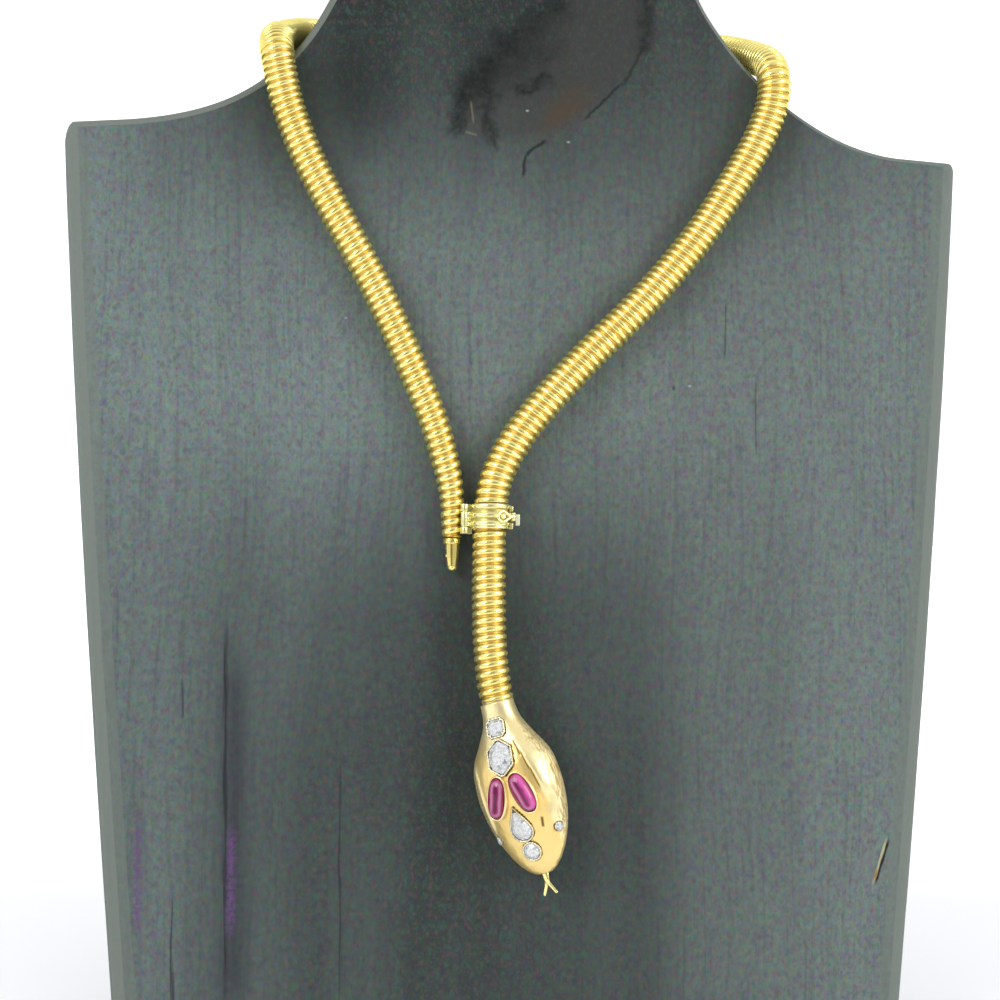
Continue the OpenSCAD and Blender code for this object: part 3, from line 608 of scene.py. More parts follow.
def stain_and_shade_tone(p, parts, bands):
    """Light stain with painted shade: darker on the neck, towards the middle low down and right of the
    middle.
    """
    across = p.math("MULTIPLY_ADD", parts[0], 1 / STAIN_WIDE, 0.5)
    up = p.math("DIVIDE", parts[1], STAIN_HIGH)
    # Painted shade: darker towards the middle low down and on the neck
    middle = p.math("MULTIPLY", p.ramp(across, MIDDLE_ACROSS, "EASE"), p.ramp(up, MIDDLE_UP, "EASE"))
    neck = p.math("MULTIPLY", p.ramp(up, NECK_UP), p.ramp(across, NECK_ACROSS))
    dark = p.math("MAXIMUM", middle, neck)
    dark = p.math("MULTIPLY_ADD", p.math("SUBTRACT", bands, 0.5), 0.45, dark)
    return p.mix(p.span(dark, 0.0, 1.0), p.ramp(across, LIGHT_STAIN_AND_SHADE), DARK_STAIN_AND_SHADE)


def with_knot(p, tone, source, parts, flecked):
    """Grey leaning knot with a dark heart, soft dark bands, a brown patch and thin edges."""
    rough = p.math("SUBTRACT", p.noise(source, 0.22, 2, 0.65), 0.5)
    streaky = p.span(flecked, 0.3, 0.68, 1.0, 0.45)
    body_rough = p.math("MULTIPLY", rough, 0.25)
    body = p.spot(parts, KNOT, *KNOT_SIZE, KNOT_LEAN, full=0.8, edge=1.02, rough=body_rough)
    tone = p.over(tone, KNOT_TONE, body, KNOT_STRENGTH)
    brown = p.spot(parts, BROWN, *BROWN_SIZE, BROWN_LEAN, full=0.1, strength=0.5, rough=rough)
    tone = p.mix(brown, tone, BROWN_TONE)
    heart = p.spot(parts, HEART, *HEART_SIZE, KNOT_LEAN, full=0.2, strength=0.7, rough=rough)
    tone = p.over(tone, HEART_TONE, heart, streaky)
    swing = p.math("MULTIPLY", rough, BAND_SWING)
    for start, end, half, strength in KNOT_BANDS:
        band = p.math("MULTIPLY", p.streak(parts, start, end, half, STREAK_SOFT, swing), strength)
        tone = p.over(tone, KNOT_BAND_TONE, band, streaky)
    swing = p.math("MULTIPLY", rough, EDGE_SWING)
    for start, end, half, strength in KNOT_EDGE:
        tone = p.over(tone, KNOT_EDGE_TONE, p.streak(parts, start, end, half, 0.2, swing), strength)
    return tone


def with_marks(p, tone, parts, flecked):
    """Lines, streaks, specks, scratches and a crack, over a darker stain and painted shadow of the tube on
    the neck's left.
    """
    # Darker stain and painted shadow of the tube
    neck = p.spot(parts, NECK_STAIN_AND_SHADOW, *NECK_STAIN_AND_SHADOW_SIZE, full=0.2, strength=0.55)
    tone = p.mix(neck, tone, NECK_STAIN_AND_SHADOW_TONE)
    sway = p.noise(p.place((1, 0.06, 1)), 1, 2, 0.5)
    wobble = p.math("MULTIPLY", p.math("SUBTRACT", sway, 0.5), LINE_SWING)
    for start, end, half, strength in DARK_LINES:
        line = p.streak(parts, start, end, half, STREAK_SOFT, wobble)
        tone = p.over(tone, DARK_LINE_TONE, line, strength)
    shade = p.streak(parts, *SHADE, SHADE_HALF, STREAK_SOFT, wobble)
    tone = p.over(tone, SHADE_TONE, shade, SHADE_STRENGTH)
    tone = p.over(tone, DOT_TONE, p.spot(parts, DOT, *DOT_SIZE), SPOT_STRENGTH)
    glitter = p.span(flecked, 0.42, 0.56, 0.1, 0.85)
    for start, end, half in VIOLET:
        streak = p.streak(parts, start, end, half, STREAK_SOFT, wobble)
        tone = p.over(tone, VIOLET_TONE, streak, glitter)
    for at in PALE_SPECKS:
        tone = p.over(tone, SPECK_TONE, p.spot(parts, at, *SPECK_SIZE), SPOT_STRENGTH)
    for start, end in SCRATCHES:
        scratch = p.streak(parts, start, end, SCRATCH_HALF, 0.0)
        tone = p.over(tone, SCRATCH_TONE, scratch, SCRATCH_STRENGTH)
    swing = p.math("MULTIPLY", wobble, 0.4)
    tone = p.mix(p.streak(parts, *CRACK_SHADE, 0.42, 0.3, swing), tone, CRACK_DARK)
    tone = p.over(tone, CRACK_PALE, p.streak(parts, *CRACK, 0.36, 0.2, swing), 0.9)
    return p.mix(p.spot(parts, RUST, *RUST_SIZE, RUST_LEAN), tone, RUST_TONE)


def with_edge_sheen(p, tone, fine):
    """Rounded rim lit by a painted sheen, uneven along the grain, and a fainter painted sheen on a band
    inside it.
    """
    uneven_sheen = p.span(fine, 0.3, 0.7, 0.7, 1.0)
    band = p.ramp(p.mark(), [(0.30, 0.0), (0.42, 0.6), (0.5, 0.6)])
    # Painted sheen on the band inside the rim, then on the rim
    tone = p.over(tone, BAND_SHEEN_TONE, band, uneven_sheen)
    return p.over(tone, RIM_SHEEN_TONE, p.span(p.mark(), 0.6, 0.8, 0.0, 0.85), uneven_sheen)


def stained_wood(name, marked=True):
    """Black-green stain over smooth pine: long grain, a dark middle and neck of painted shade, fine lines, a
    leaning knot, and a painted sheen on its rim.
    """
    p = Paint(name)
    source = p.place()
    parts = p.parts(source)
    wander = p.math("SUBTRACT", p.noise(p.place(WANDER_SCALE), 1, 1, 0.5), 0.5)
    shift = p.node("ShaderNodeCombineXYZ")
    p.link(p.math("MULTIPLY", wander, WANDER), shift.inputs[0])
    grain = p.vector("ADD", source, shift.outputs[0])
    bands = p.noise(p.vector("MULTIPLY", grain, WIDE_GRAIN), 1, 2, 0.5)
    fine = p.noise(p.vector("MULTIPLY", grain, FINE_GRAIN), 1, 3, 0.6)
    speckle = p.noise(p.vector("MULTIPLY_ADD", grain, *SPECKLE), 1, 2, 0.65)
    fleck = p.noise(p.vector("MULTIPLY_ADD", grain, *FLECK), 1, 1, out="Color")
    tone = stain_and_shade_tone(p, parts, bands)
    tone = p.mix(p.span(fine, 0.5, 0.72, 0.0, 0.28), tone, GRAIN_TONE)
    tone = p.mix(p.span(speckle, 0.52, 0.66, 0.0, 0.4), tone, GREEN_FLECK)
    tone = p.mix(p.span(speckle, 0.34, 0.48, 0.4, 0.0), tone, ROSE_FLECK)
    tone = p.mix(FLECK_SHARE, tone, fleck, "OVERLAY")
    if marked:
        flecked = p.noise(source, 0.9, 3, 0.7)
        tone = with_knot(p, tone, source, parts, flecked)
        tone = with_marks(p, tone, parts, flecked)
    tone = with_edge_sheen(p, tone, fine)
    roughness = p.math("MULTIPLY_ADD", fine, 0.14, p.math("MULTIPLY_ADD", bands, 0.1, 0.45))
    p.put(Base_Color=tone, Specular_IOR_Level=0.1, Roughness=roughness)
    p.put(Normal=p.bump(p.noise(p.place(RELIEF_SCALE), 1, 1, 0.5), 0.25, 0.2))
    return p.made


board_stain = stained_wood("stained_wood")
prop_stain = stained_wood("prop_stain", False)

# Outline of the board: half widths at foot and neck, and the points that its curves lean to
FOOT_HALF, NECK_HALF = 81.5, 36
BOARD_TOP, TOP_R = 238, 4
SIDE_BOW = (91.6, 115)
SLOPE_START, SLOPE_RISE = (82, 67), (0.8, 2.2)
SLOPE_LOW = 50.5
THROAT = (40.2, 221.4)
THROAT_BOW = 229
# Each side's shoulder height, lowest pull of its slope, half width, and corner's width and height
RIGHT_EDGE = (190, 204.3, 94.8, (1.8, 1.8))
LEFT_EDGE = (194.2, 200.5, 95.2, (2.0, 4.4))
# Rounded rim and the fainter band inside it, and how much of them the shoulders and the neck have
RIM_R = 3.0
BAND_END = 5.2
BACK_R = 1.2
SHARE_RIGHT, SHARE_LEFT = 0.28, 0.5
# Steps of the outline's side, slope and throat, and the points of its side and its corner
EDGE_STEPS, SLOPE_STEPS, THROAT_STEPS = 24, 28, 6
SIDE_POINTS, CORNER_POINTS = EDGE_STEPS + 1, 10
WEAR_SCALE, WEAR_DEPTH = 0.06, 0.12
STEP = 0.001


def bend2(a, b, c, t):
    return [a[i] * (1 - t) ** 2 + 2 * b[i] * (1 - t) * t + c[i] * t * t for i in range(2)]


def bend3(a, b, c, d, t):
    return [a[i] * (1 - t) ** 3 + 3 * b[i] * (1 - t) ** 2 * t + 3 * c[i] * (1 - t) * t * t + d[i] * t ** 3
            for i in range(2)]


def corner_at(x, y, wide, high):
    """Quarter round from the side to the top."""
    return [(x - wide + wide * math.cos(math.radians(a)), y - high + high * math.sin(math.radians(a)))
            for a in range(9, 91, 9)]


def edge_of(shoulder, hollow, half, corner):
    """Half of the outline from the foot up: side, shoulder, slope, neck and top corner."""
    wide, high = corner
    side = [(FOOT_HALF, 0), SIDE_BOW, (half, shoulder - high)]
    out = [bend2(*side, k / EDGE_STEPS) for k in range(EDGE_STEPS + 1)]
    out += corner_at(half, shoulder, wide, high)
    slope = [(x, shoulder + rise) for x, rise in zip(SLOPE_START, SLOPE_RISE)]
    slope += [(SLOPE_LOW, hollow), THROAT]
    out += [bend3(*slope, k / SLOPE_STEPS) for k in range(SLOPE_STEPS + 1)]
    neck = [(NECK_HALF, THROAT_BOW), (NECK_HALF, BOARD_TOP - TOP_R)]
    out += [bend2(THROAT, *neck, k / THROAT_STEPS) for k in range(1, THROAT_STEPS + 1)]
    out += corner_at(NECK_HALF, BOARD_TOP, TOP_R, TOP_R)
    return [Vector((p[0], p[1])) for p in out]


def unfold(ring, half):
    """Keep a drawn-in outline from folding at the shoulders: it only rises, and runs inward past a corner."""
    for side in (range(half), range(len(ring) - 1, half - 1, -1)):
        x, y = 0, -1
        for count, i in enumerate(side):
            px, py = ring[i]
            y = max(py, y + STEP)
            if count >= SIDE_POINTS:
                px = math.copysign(min(abs(px), abs(x) - STEP), px)
            x = px
            ring[i] = (x, y)


def edge_rings():
    """Rings from the back face to the front: depth, distance inward, and mark."""
    rings = [(-BOARD_T, BACK_R + 0.5, 0.0), (-BOARD_T, BACK_R, 0.3)]
    for a in (22.5, 45, 67.5, 90):
        c, s = math.cos(math.radians(a)), math.sin(math.radians(a))
        rings.append((-BOARD_T + BACK_R * (1 - c), BACK_R * (1 - s), 0.5))
    for k in (1, 2, 3):
        rings.append((-BOARD_T + BACK_R + (BOARD_T - BACK_R - RIM_R) * k / 4, 0.0, 0.25))
    for a, mark in ((0, 0.3), (12, 0.4), (24, 0.6), (36, 0.8), (48, 1.0), (60, 1.0), (72, 1.0), (84, 0.9)):
        c, s = math.cos(math.radians(a)), math.sin(math.radians(a))
        rings.append((-RIM_R + RIM_R * s, RIM_R * (1 - c), mark))
    return rings + [(-0.02, RIM_R + 0.05, 0.5), (-0.01, BAND_END - 0.15, 0.45), (0.0, BAND_END, 0.0)]


def edge_normals(outline):
    normals = []
    for i in range(len(outline)):
        way = outline[min(i + 1, len(outline) - 1)] - outline[max(i - 1, 0)]
        normals.append(Vector((way.y, -way.x)).normalized())
    return normals


def rim_shares(n):
    """How much of the rim each point of the outline has: all on the sides, less past the corners."""
    shares = []
    for i in range(n):
        top_share = SHARE_RIGHT if i < n // 2 else SHARE_LEFT
        past = (min(i, n - 1 - i) - SIDE_POINTS + 1) / CORNER_POINTS
        shares.append(1 + (top_share - 1) * math.sin(math.pi / 2 * min(max(past, 0), 1)) ** 2)
    return shares


def board_piece():
    outline = edge_of(*RIGHT_EDGE) + [Vector((-p.x, p.y)) for p in edge_of(*LEFT_EDGE)][::-1]
    n = len(outline)
    half = n // 2
    normals, shares, rings = edge_normals(outline), rim_shares(n), edge_rings()
    shape = Shape()
    points, marks = [], []
    for w, inward, mark in rings:
        ring, depths = [], []
        for p, normal, share in zip(outline, normals, shares):
            # The rim is smaller where its share is, and the wood is worn a little unevenly along its edge
            depth = w * share if -RIM_R <= w < 0 else w
            wear = noise.noise(Vector((p.x * WEAR_SCALE, p.y * WEAR_SCALE, w * 0.1))) * WEAR_DEPTH
            q = p - normal * (inward * share + (abs(wear) if inward < RIM_R else 0))
            ring.append((q.x, max(q.y, -depth * math.tan(math.radians(LEAN)))))
            depths.append(depth)
            marks.append(mark * share if inward > RIM_R else mark)
        unfold(ring, half)
        points += [(x, y, depth) for (x, y), depth in zip(ring, depths)]
    shape.add(points, grid_faces(len(rings), n, wrap=False), None, marks)
    # Front and back faces as strips from the right edge to the left, and the foot
    last = len(rings) - 1
    flats = [[row * n + i, row * n + i + 1, row * n + n - 2 - i, row * n + n - 1 - i]
             for row in (last, 0) for i in range(half - 1)]
    flats.append([k * n for k in range(last + 1)] + [k * n + n - 1 for k in range(last, -1, -1)])
    shape.faces += flats
    shape.flat += [True] * len(flats)
    return shape.build("display_board", ON_BOARD, board_stain, "necklace_and_board", ["neck_board"],
                       "stained_wood", 0)


# Prop: gap behind the board, heights of its top and its heel, half width, and reach at top and foot
PROP_GAP = 0.2
PROP_HIGH, PROP_HEEL = 112, 10
PROP_HALF = 11
PROP_TOP_REACH, PROP_REACH = 8, 78
PROP_BEVEL = 0.9
# Place of the prop's grain, away from the board's marks
PROP_GRAIN = (40, 30)


def prop_piece():
    back = FOOT_Y + PROP_GAP
    top_back = back + PROP_HIGH * math.tan(math.radians(LEAN))
    side = [(back, 0), (top_back, PROP_HIGH), (top_back + PROP_TOP_REACH, PROP_HIGH),
            (back + PROP_REACH, PROP_HEEL), (back + PROP_REACH, 0)]
    work = bmesh.new()
    rows = [[work.verts.new((x, y, z)) for y, z in side] for x in (-PROP_HALF, PROP_HALF)]
    for row in rows:
        work.faces.new(row)
    for i in range(len(side)):
        k = (i + 1) % len(side)
        work.faces.new([rows[0][i], rows[0][k], rows[1][k], rows[1][i]])
    bmesh.ops.recalc_face_normals(work, faces=work.faces)
    bmesh.ops.bevel(work, geom=work.edges[:], offset=PROP_BEVEL, segments=3, profile=0.5, affect="EDGES")
    work.verts.index_update()
    shape = Shape()
    points = [v.co.copy() for v in work.verts]
    shape.add(points, [[v.index for v in f.verts] for f in work.faces], None, 0.15,
              [(p.x + PROP_GRAIN[0], p.z + PROP_GRAIN[1], p.y) for p in points])
    work.free()
    return shape.build("display_prop", Matrix.Identity(4), prop_stain, "necklace_and_board", ["rear_prop"],
                       "stained_wood", 0, True)


# Snake body: one helix of half-round ridges along a route, with a narrow hollow between them
class Route:
    def __init__(self, points, steps=24):
        points = [Vector(p) for p in points]
        last = len(points) - 1
        self.middle = []
        for i in range(last):
            for k in range(steps):
                self.middle.append(curve_at(points[max(i - 1, 0)], points[i], points[i + 1],
                                            points[min(i + 2, last)], k / steps))
        self.middle.append(points[-1])
        n = len(self.middle)
        self.way = []
        for i in range(n):
            ahead, behind = self.middle[min(i + 1, n - 1)], self.middle[max(i - 1, 0)]
            self.way.append((ahead - behind).normalized())
        side = self.way[0].cross(Vector((0, 0, 1))).normalized()
        self.side, self.along = [], [0.0]
        for i in range(n):
            side = (side - side.dot(self.way[i]) * self.way[i]).normalized()
            self.side.append(side)
            if i:
                self.along.append(self.along[-1] + (self.middle[i] - self.middle[i - 1]).length)
        self.length = self.along[-1]

    def at(self, s):
        s = min(max(s, 0.0), self.length)
        low, high = 0, len(self.along) - 1
        while high - low > 1:
            mid = (low + high) // 2
            low, high = (mid, high) if self.along[mid] <= s else (low, mid)
        part = (s - self.along[low]) / (self.along[high] - self.along[low])
        way = self.way[low].lerp(self.way[high], part).normalized()
        side = self.side[low].lerp(self.side[high], part).normalized()
        return self.middle[low].lerp(self.middle[high], part), side, way.cross(side)


route = Route(ROUTE)
RIDGES = [0.0]
while RIDGES[-1] < route.length:
    RIDGES.append(RIDGES[-1] + PITCH * lookup(RIDGES[-1], CLOSER))
RIDGES.pop()
TURNS = len(RIDGES) - 2


def ridge_place(n):
    """Distance along the tube after a number of turns."""
    low = min(max(int(math.floor(n)), 0), len(RIDGES) - 2)
    return RIDGES[low] + (RIDGES[low + 1] - RIDGES[low]) * (n - low)


STRETCH = (route.length - GAP) / ridge_place(TURNS + 1 - 1 / TUBE_SIDES)
# The two nodes of the tube meet at the turn that is nearest to this distance, behind the neck
HALF_WAY = 208.6
JOIN = min(range(TURNS), key=lambda turn: abs(STRETCH * ridge_place(turn) - HALF_WAY))
# Half of a turn that the ridge takes, and the groove's depth, by distance from the tail's end
WIDE = [(0, 0.36), (90, 0.35), (110, 0.33), (270, 0.33), (350, 0.35), (1000, 0.35)]
DEEP = [(0, 0.46), (90, 0.42), (270, 0.42), (385, 0.46), (1000, 0.47)]
SWELL = 1.025
# One turn's profile: place across the ridge, share of the depth and mark of painted shade, with the groove
# first
RIDGE_STEPS = 10
RIDGE_FOOT_SHADE = {0: 0.85, 1: 0.3}
RIDGE = [(None, 1.15, 1.0)]
for k in range(RIDGE_STEPS + 1):
    a = math.pi * k / RIDGE_STEPS
    RIDGE.append((math.cos(a), 1 - math.sin(a) ** 0.8, RIDGE_FOOT_SHADE.get(min(k, RIDGE_STEPS - k), 0.0)))
# Gaps at the tail's end and at the head, and the width of the texture round the tube
TAIL_GAP, HEAD_GAP = 0.05, 0.15
AROUND = 2.1
# Faces and gaps in metres that are too small to keep
TINY_AREA = 1e-13
TINY_GAP = 2e-7


def close_ends(piece):
    """Take out faces of no area at the tube's two ends and close the ends."""
    work = bmesh.new()
    work.from_mesh(piece.data)
    flat = [f for f in work.faces if f.calc_area() < TINY_AREA]
    bmesh.ops.delete(work, geom=flat, context="FACES")
    bmesh.ops.remove_doubles(work, verts=work.verts, dist=TINY_GAP)
    edges = [e for e in work.edges if e.is_boundary]
    bmesh.ops.holes_fill(work, edges=edges, sides=0)
    loose = [v for v in work.verts if not v.link_faces]
    bmesh.ops.delete(work, geom=loose, context="VERTS")
    bmesh.ops.recalc_face_normals(work, faces=work.faces)
    work.to_mesh(piece.data)
    work.free()


def tube_piece(name, first, last, node, sides=40):
    points, marks, places = [], [], []
    start = STRETCH * ridge_place(first) if first else TAIL_GAP
    stop = STRETCH * ridge_place(last) if last < TURNS else route.length - HEAD_GAP
    for turn in range(first - 1, last + 1):
        wide = lookup(STRETCH * ridge_place(turn), WIDE)
        depth = lookup(STRETCH * ridge_place(turn), DEEP)
        for across, below, mark in RIDGE:
            at = 0.0 if across is None else 0.5 - wide * across
            for j in range(sides):
                s = STRETCH * ridge_place(turn + at - 0.5 + j / sides)
                s = min(max(s, start), stop)
                middle, side, up = route.at(s)
                a = 2 * math.pi * j / sides
                r = lookup(s, TAPER) * SWELL - below * depth
                points.append(middle + r * (side * math.cos(a) + up * math.sin(a)))
                marks.append(mark)
                places.append((a * AROUND, s, 0.0))
    rows = len(points) // sides
    faces = grid_faces(rows, sides, wrap=False)
    # Past the last side the helix goes on one turn further along
    for i in range(rows - len(RIDGE) - 1):
        k = i + len(RIDGE)
        faces.append([i * sides + sides - 1, (i + 1) * sides + sides - 1, (k + 1) * sides, k * sides])
    shape = Shape().add(points, faces, None, marks, places)
    close_ends(shape.build(name, ON_BOARD, yellow_gold, "necklace_and_board", [node], "yellow_gold", 0))


# Tail tip: outlines as (radius, distance from the tube's end), and the painted reflection on its facets by
# angle, as a share of the dark tone
TIP_CAP = [(0.0, 0.0), (1.5, 0.0), (1.68, 0.08), (1.76, 0.25), (1.76, 1.0), (1.7, 1.2), (1.5, 1.32),
           (1.28, 1.36)]
TIP_RIM = [(1.62, 0.02), (1.79, 0.1), (1.79, 0.42), (1.7, 0.5), (1.62, 0.5)]
TIP_CONE = [(1.4, 1.3), (1.5, 1.45), (1.48, 2.2), (1.41, 3.2), (1.3, 4.2), (1.16, 5.1), (1.04, 5.9)]
TIP_END = [(1.03, 5.88), (0.95, 6.3), (0.74, 6.62), (0.46, 6.8), (0.2, 6.88), (0.0, 6.9)]
TIP_PIN = [(0.0, -1.86), (0.2, -1.84), (0.26, -1.76), (0.26, -1.5)]
TIP_NUB = [(0.0, -0.34), (0.16, -0.26), (0.22, 0.0), (0.16, 0.26), (0.0, 0.34)]
TIP_FACET_SHADE = [(0, 0.8), (20, 0.75), (26, 0.3), (78, 0.3), (82, 1.0), (98, 1.0), (102, 0.0), (160, 0.0),
               (170, 0.5), (360, 0.5)]
CONE_FACETS, CONE_TURN, CONE_ASIDE = 8, 12, 0.12
PIN_PLACE, NUB_PLACE = (0.05, 0, 0.62), (-1.1, 0.35, 3.7)


def tip_piece():
    shape = Shape()
    down = Matrix.Translation(Vector(ROUTE[0]) - Vector((0, GAP, 0))) @ turn_about("X", 90)
    turned(shape, TIP_CAP, down, 40)
    turned(shape, TIP_RIM, down, 40, 0.35)
    aside = down @ Matrix.Translation((CONE_ASIDE, 0, 0))
    # Faceted cone, each facet with its painted reflection
    turned(shape, TIP_CONE, aside @ turn_about("Z", CONE_TURN), 72, 0.0, CONE_FACETS, True, TIP_FACET_SHADE)
    turned(shape, TIP_END, aside, 40)
    # Pin through the rim, and a small nub low on the left
    turned(shape, TIP_PIN, down @ Matrix.Translation(PIN_PLACE) @ turn_about("X", 90), 20, 0.95)
    turned(shape, TIP_NUB, down @ Matrix.Translation(NUB_PLACE), 16)
    return shape.build("tail_cap", ON_BOARD, tip_gold, "necklace_and_board", ["tail_tip"], "yellow_gold", 0)


# Clasp, from the collar's middle: hinge and loop pivot as (across, forward), and the collar's sizes
HINGE = (-5.45, 0.6)
BARREL_R = 0.78
PIVOT = (4.6, 2.95)
LOOP_Y = -0.15
LOOP_REACH = 2.6
LOOP_LEAN = 25.8
SPLIT = 0.3
SPLIT_CLEAR = 0.12
COLLAR_IN, COLLAR_HALF = 3.8, 2.6
FRONT_OUT, BACK_OUT = 4.1, 4.2
RIB_PLACES = (-1.5, 0.2, 2.05)
RIB_STEPS, RIB_HALF, RIB_RISE = 10, 0.47, 0.22
RIB_FOOT_R, RIB_R, GROOVE_R = 4.03, 4.04, 4.0
# Middles of the grooves between the ribs, and their half width
GROOVES = (-0.65, 1.12, None)
GROOVE_HALF = 0.25
# Spans along the tube of the barrel, the three beads on its leaf, the end plates and the knuckles
BARREL_SPAN = (-2.1, 1)
BEADS = ((-2.0, -1.25), (-0.95, -0.05), (0.2, 0.92))
PLATES = ((-2.6, -1.4), (1.1, 2.15))
KNUCKLES = ((1.1, 2.6), (-3.6, -2.2))
# How far across the barrel's leaf and the plates reach, and the beads' place and radius
LEAF_ACROSS, PLATE_ACROSS = (-5.3, -3.85), (COLLAR_IN, 4.57)
BEAD_PLACE, BEAD_R = (-4.5, 0.88), 0.42
# Fork's arms beside the loop: distances from its middle, and their thickness
FORK_ARMS, FORK_T = (-0.85, 0.48), 0.37
BUTTON = [(0.0, -0.6), (0.58, -0.6), (0.58, 0.1), (0.56, 0.26), (0.49, 0.36), (0.36, 0.42), (0.24, 0.43),
          (0.18, 0.38)]
DIMPLE = [(0.19, 0.36), (0.12, 0.33), (0.0, 0.31)]
LOOP_PLANE = (Matrix.Translation((PIVOT[0], LOOP_Y, PIVOT[1])) @ turn_about("Y", LOOP_LEAN)
              @ Matrix.Scale(-1, 4, (1, 0, 0)))


def arc_ring(shape, outline, start, stop, steps=64):
    """Part of a ring about y, from a closed outline of radius, height and mark."""
    points, marks = [], []
    for k in range(steps + 1):
        a = math.radians(start + (stop - start) * k / steps)
        for radius, height, mark in outline:
            points.append((radius * math.cos(a), height, radius * math.sin(a)))
            marks.append(mark)
    n = len(outline)
    shape.add(points, grid_faces(steps + 1, n) + end_faces(steps + 1, n), None, marks)


def ribbed_outline():
    """Section of the collar's front half: three round ribs on its outside, with painted shade at their feet,
    in the grooves and on the inside.
    """
    outer = [(4.02, -COLLAR_HALF, 0.0), (FRONT_OUT, -2.52, 0.0), (FRONT_OUT, -2.1, 0.4)]
    for middle, groove in zip(RIB_PLACES, GROOVES):
        for k in range(RIB_STEPS + 1):
            a = math.pi * k / RIB_STEPS
            at_foot = k in (0, RIB_STEPS)
            radius = RIB_FOOT_R if at_foot else RIB_R + RIB_RISE * math.sin(a) ** 0.8
            outer.append((radius, middle - RIB_HALF * math.cos(a), 0.75 if at_foot else 0.0))
        if groove is not None:
            outer += [(GROOVE_R, groove - GROOVE_HALF, 1.0), (GROOVE_R, groove + GROOVE_HALF, 1.0)]
    return outer + [(4.02, COLLAR_HALF, 0.3), (COLLAR_IN, COLLAR_HALF, 0.3), (COLLAR_IN, -COLLAR_HALF, 0.3)]


def clasp_front_piece():
    shape = Shape()
    clear = math.degrees(math.asin((SPLIT + SPLIT_CLEAR) / FRONT_OUT))
    arc_ring(shape, ribbed_outline(), clear, 180 - clear)
    post_y(shape, HINGE, BARREL_R, BARREL_SPAN, 0.1)
    near, far = LEAF_ACROSS
    # Leaf darkened as painted shade
    rounded_box(shape, (near, BARREL_SPAN[0], 0.42), (far, BARREL_SPAN[1], 0.98), 0.06, mark=0.55)
    for span in BEADS:
        post_y(shape, BEAD_PLACE, BEAD_R, span, 0.18, 24)
    for low, high in PLATES:
        rounded_box(shape, (PLATE_ACROSS[0], low, 0.42), (PLATE_ACROSS[1], high, 2.1), 0.07)
    on_button = LOOP_PLANE @ Matrix.Translation((LOOP_REACH, 0, 0))
    turned(shape, BUTTON, on_button, 40)
    # Dimple in the button, darkened as painted shade
    turned(shape, DIMPLE, on_button, 24, 0.8)
    return shape.build("collar_front", ON_CLASP, clasp_gold, "clasp_band", ["clasp_front"], "clasp_gold",
                       weighted=True)


def clasp_back_piece():
    shape = Shape()
    # Inner faces darkened a little as painted shade
    outline = [(4.12, -COLLAR_HALF, 0.0), (BACK_OUT, -2.5, 0.0), (BACK_OUT, 2.5, 0.0),
               (4.12, COLLAR_HALF, 0.0), (COLLAR_IN, COLLAR_HALF, 0.3), (COLLAR_IN, -COLLAR_HALF, 0.3)]
    clear = math.degrees(math.asin((SPLIT - SPLIT_CLEAR) / BACK_OUT))
    arc_ring(shape, outline, 180 - clear, 360 + clear)
    # Knuckles, with their leaves darkened as painted shade
    for low, high in KNUCKLES:
        post_y(shape, HINGE, BARREL_R, (low, high), 0.1)
        near, far = LEAF_ACROSS
        rounded_box(shape, (near, low, -0.75), (far, high, 0.18), 0.06, mark=0.4)
        rounded_box(shape, (-6.25, low, -0.75), (near, high, 0.2), 0.06, mark=0.6)
    # Stem and fork that carry the loop, with the pivot through the fork; stem and fork darkened as painted
    # shade
    rounded_box(shape, (4.05, LOOP_Y - 0.85, -1.15), (4.93, LOOP_Y + 0.85, 2.1), 0.08, mark=0.55)
    for arm in FORK_ARMS:
        low = LOOP_Y + arm
        high = low + FORK_T
        post_y(shape, PIVOT, 0.42, (low, high), 0.06, 24, 0.2)
        rounded_box(shape, (4.27, low, 1.9), (4.93, high, 2.9), 0.05, mark=0.3)
    post_y(shape, PIVOT, 0.2, (LOOP_Y - 0.7, LOOP_Y + 0.7), 0.03, 20)
    return shape.build("collar_back", ON_CLASP, clasp_gold, "necklace_and_board", ["clasp_back"],
                       "clasp_gold", weighted=True)


PIN_R, PIN_SPAN = 0.35, (-3.55, 2.55)


def pin_piece():
    shape = Shape()
    post_y(shape, HINGE, PIN_R, PIN_SPAN, 0.1, 28, 0.35)
    return shape.build("hinge_rod", ON_CLASP, clasp_gold, "necklace_and_board", ["hinge_pin"], "clasp_gold")


# Safety loop: radius round the button, wire's radius, where its sides meet, and the eye at the pivot
LOOP_R, LOOP_WIRE_R, LOOP_TIP = 1.1, 0.3, 0.62
LOOP_EYE = [(0.27, -0.37), (0.4, -0.37), (0.42, -0.3), (0.42, 0.3), (0.4, 0.37), (0.27, 0.37), (0.27, -0.37)]
ARC_STEPS, SIDE_STEPS = 20, 9


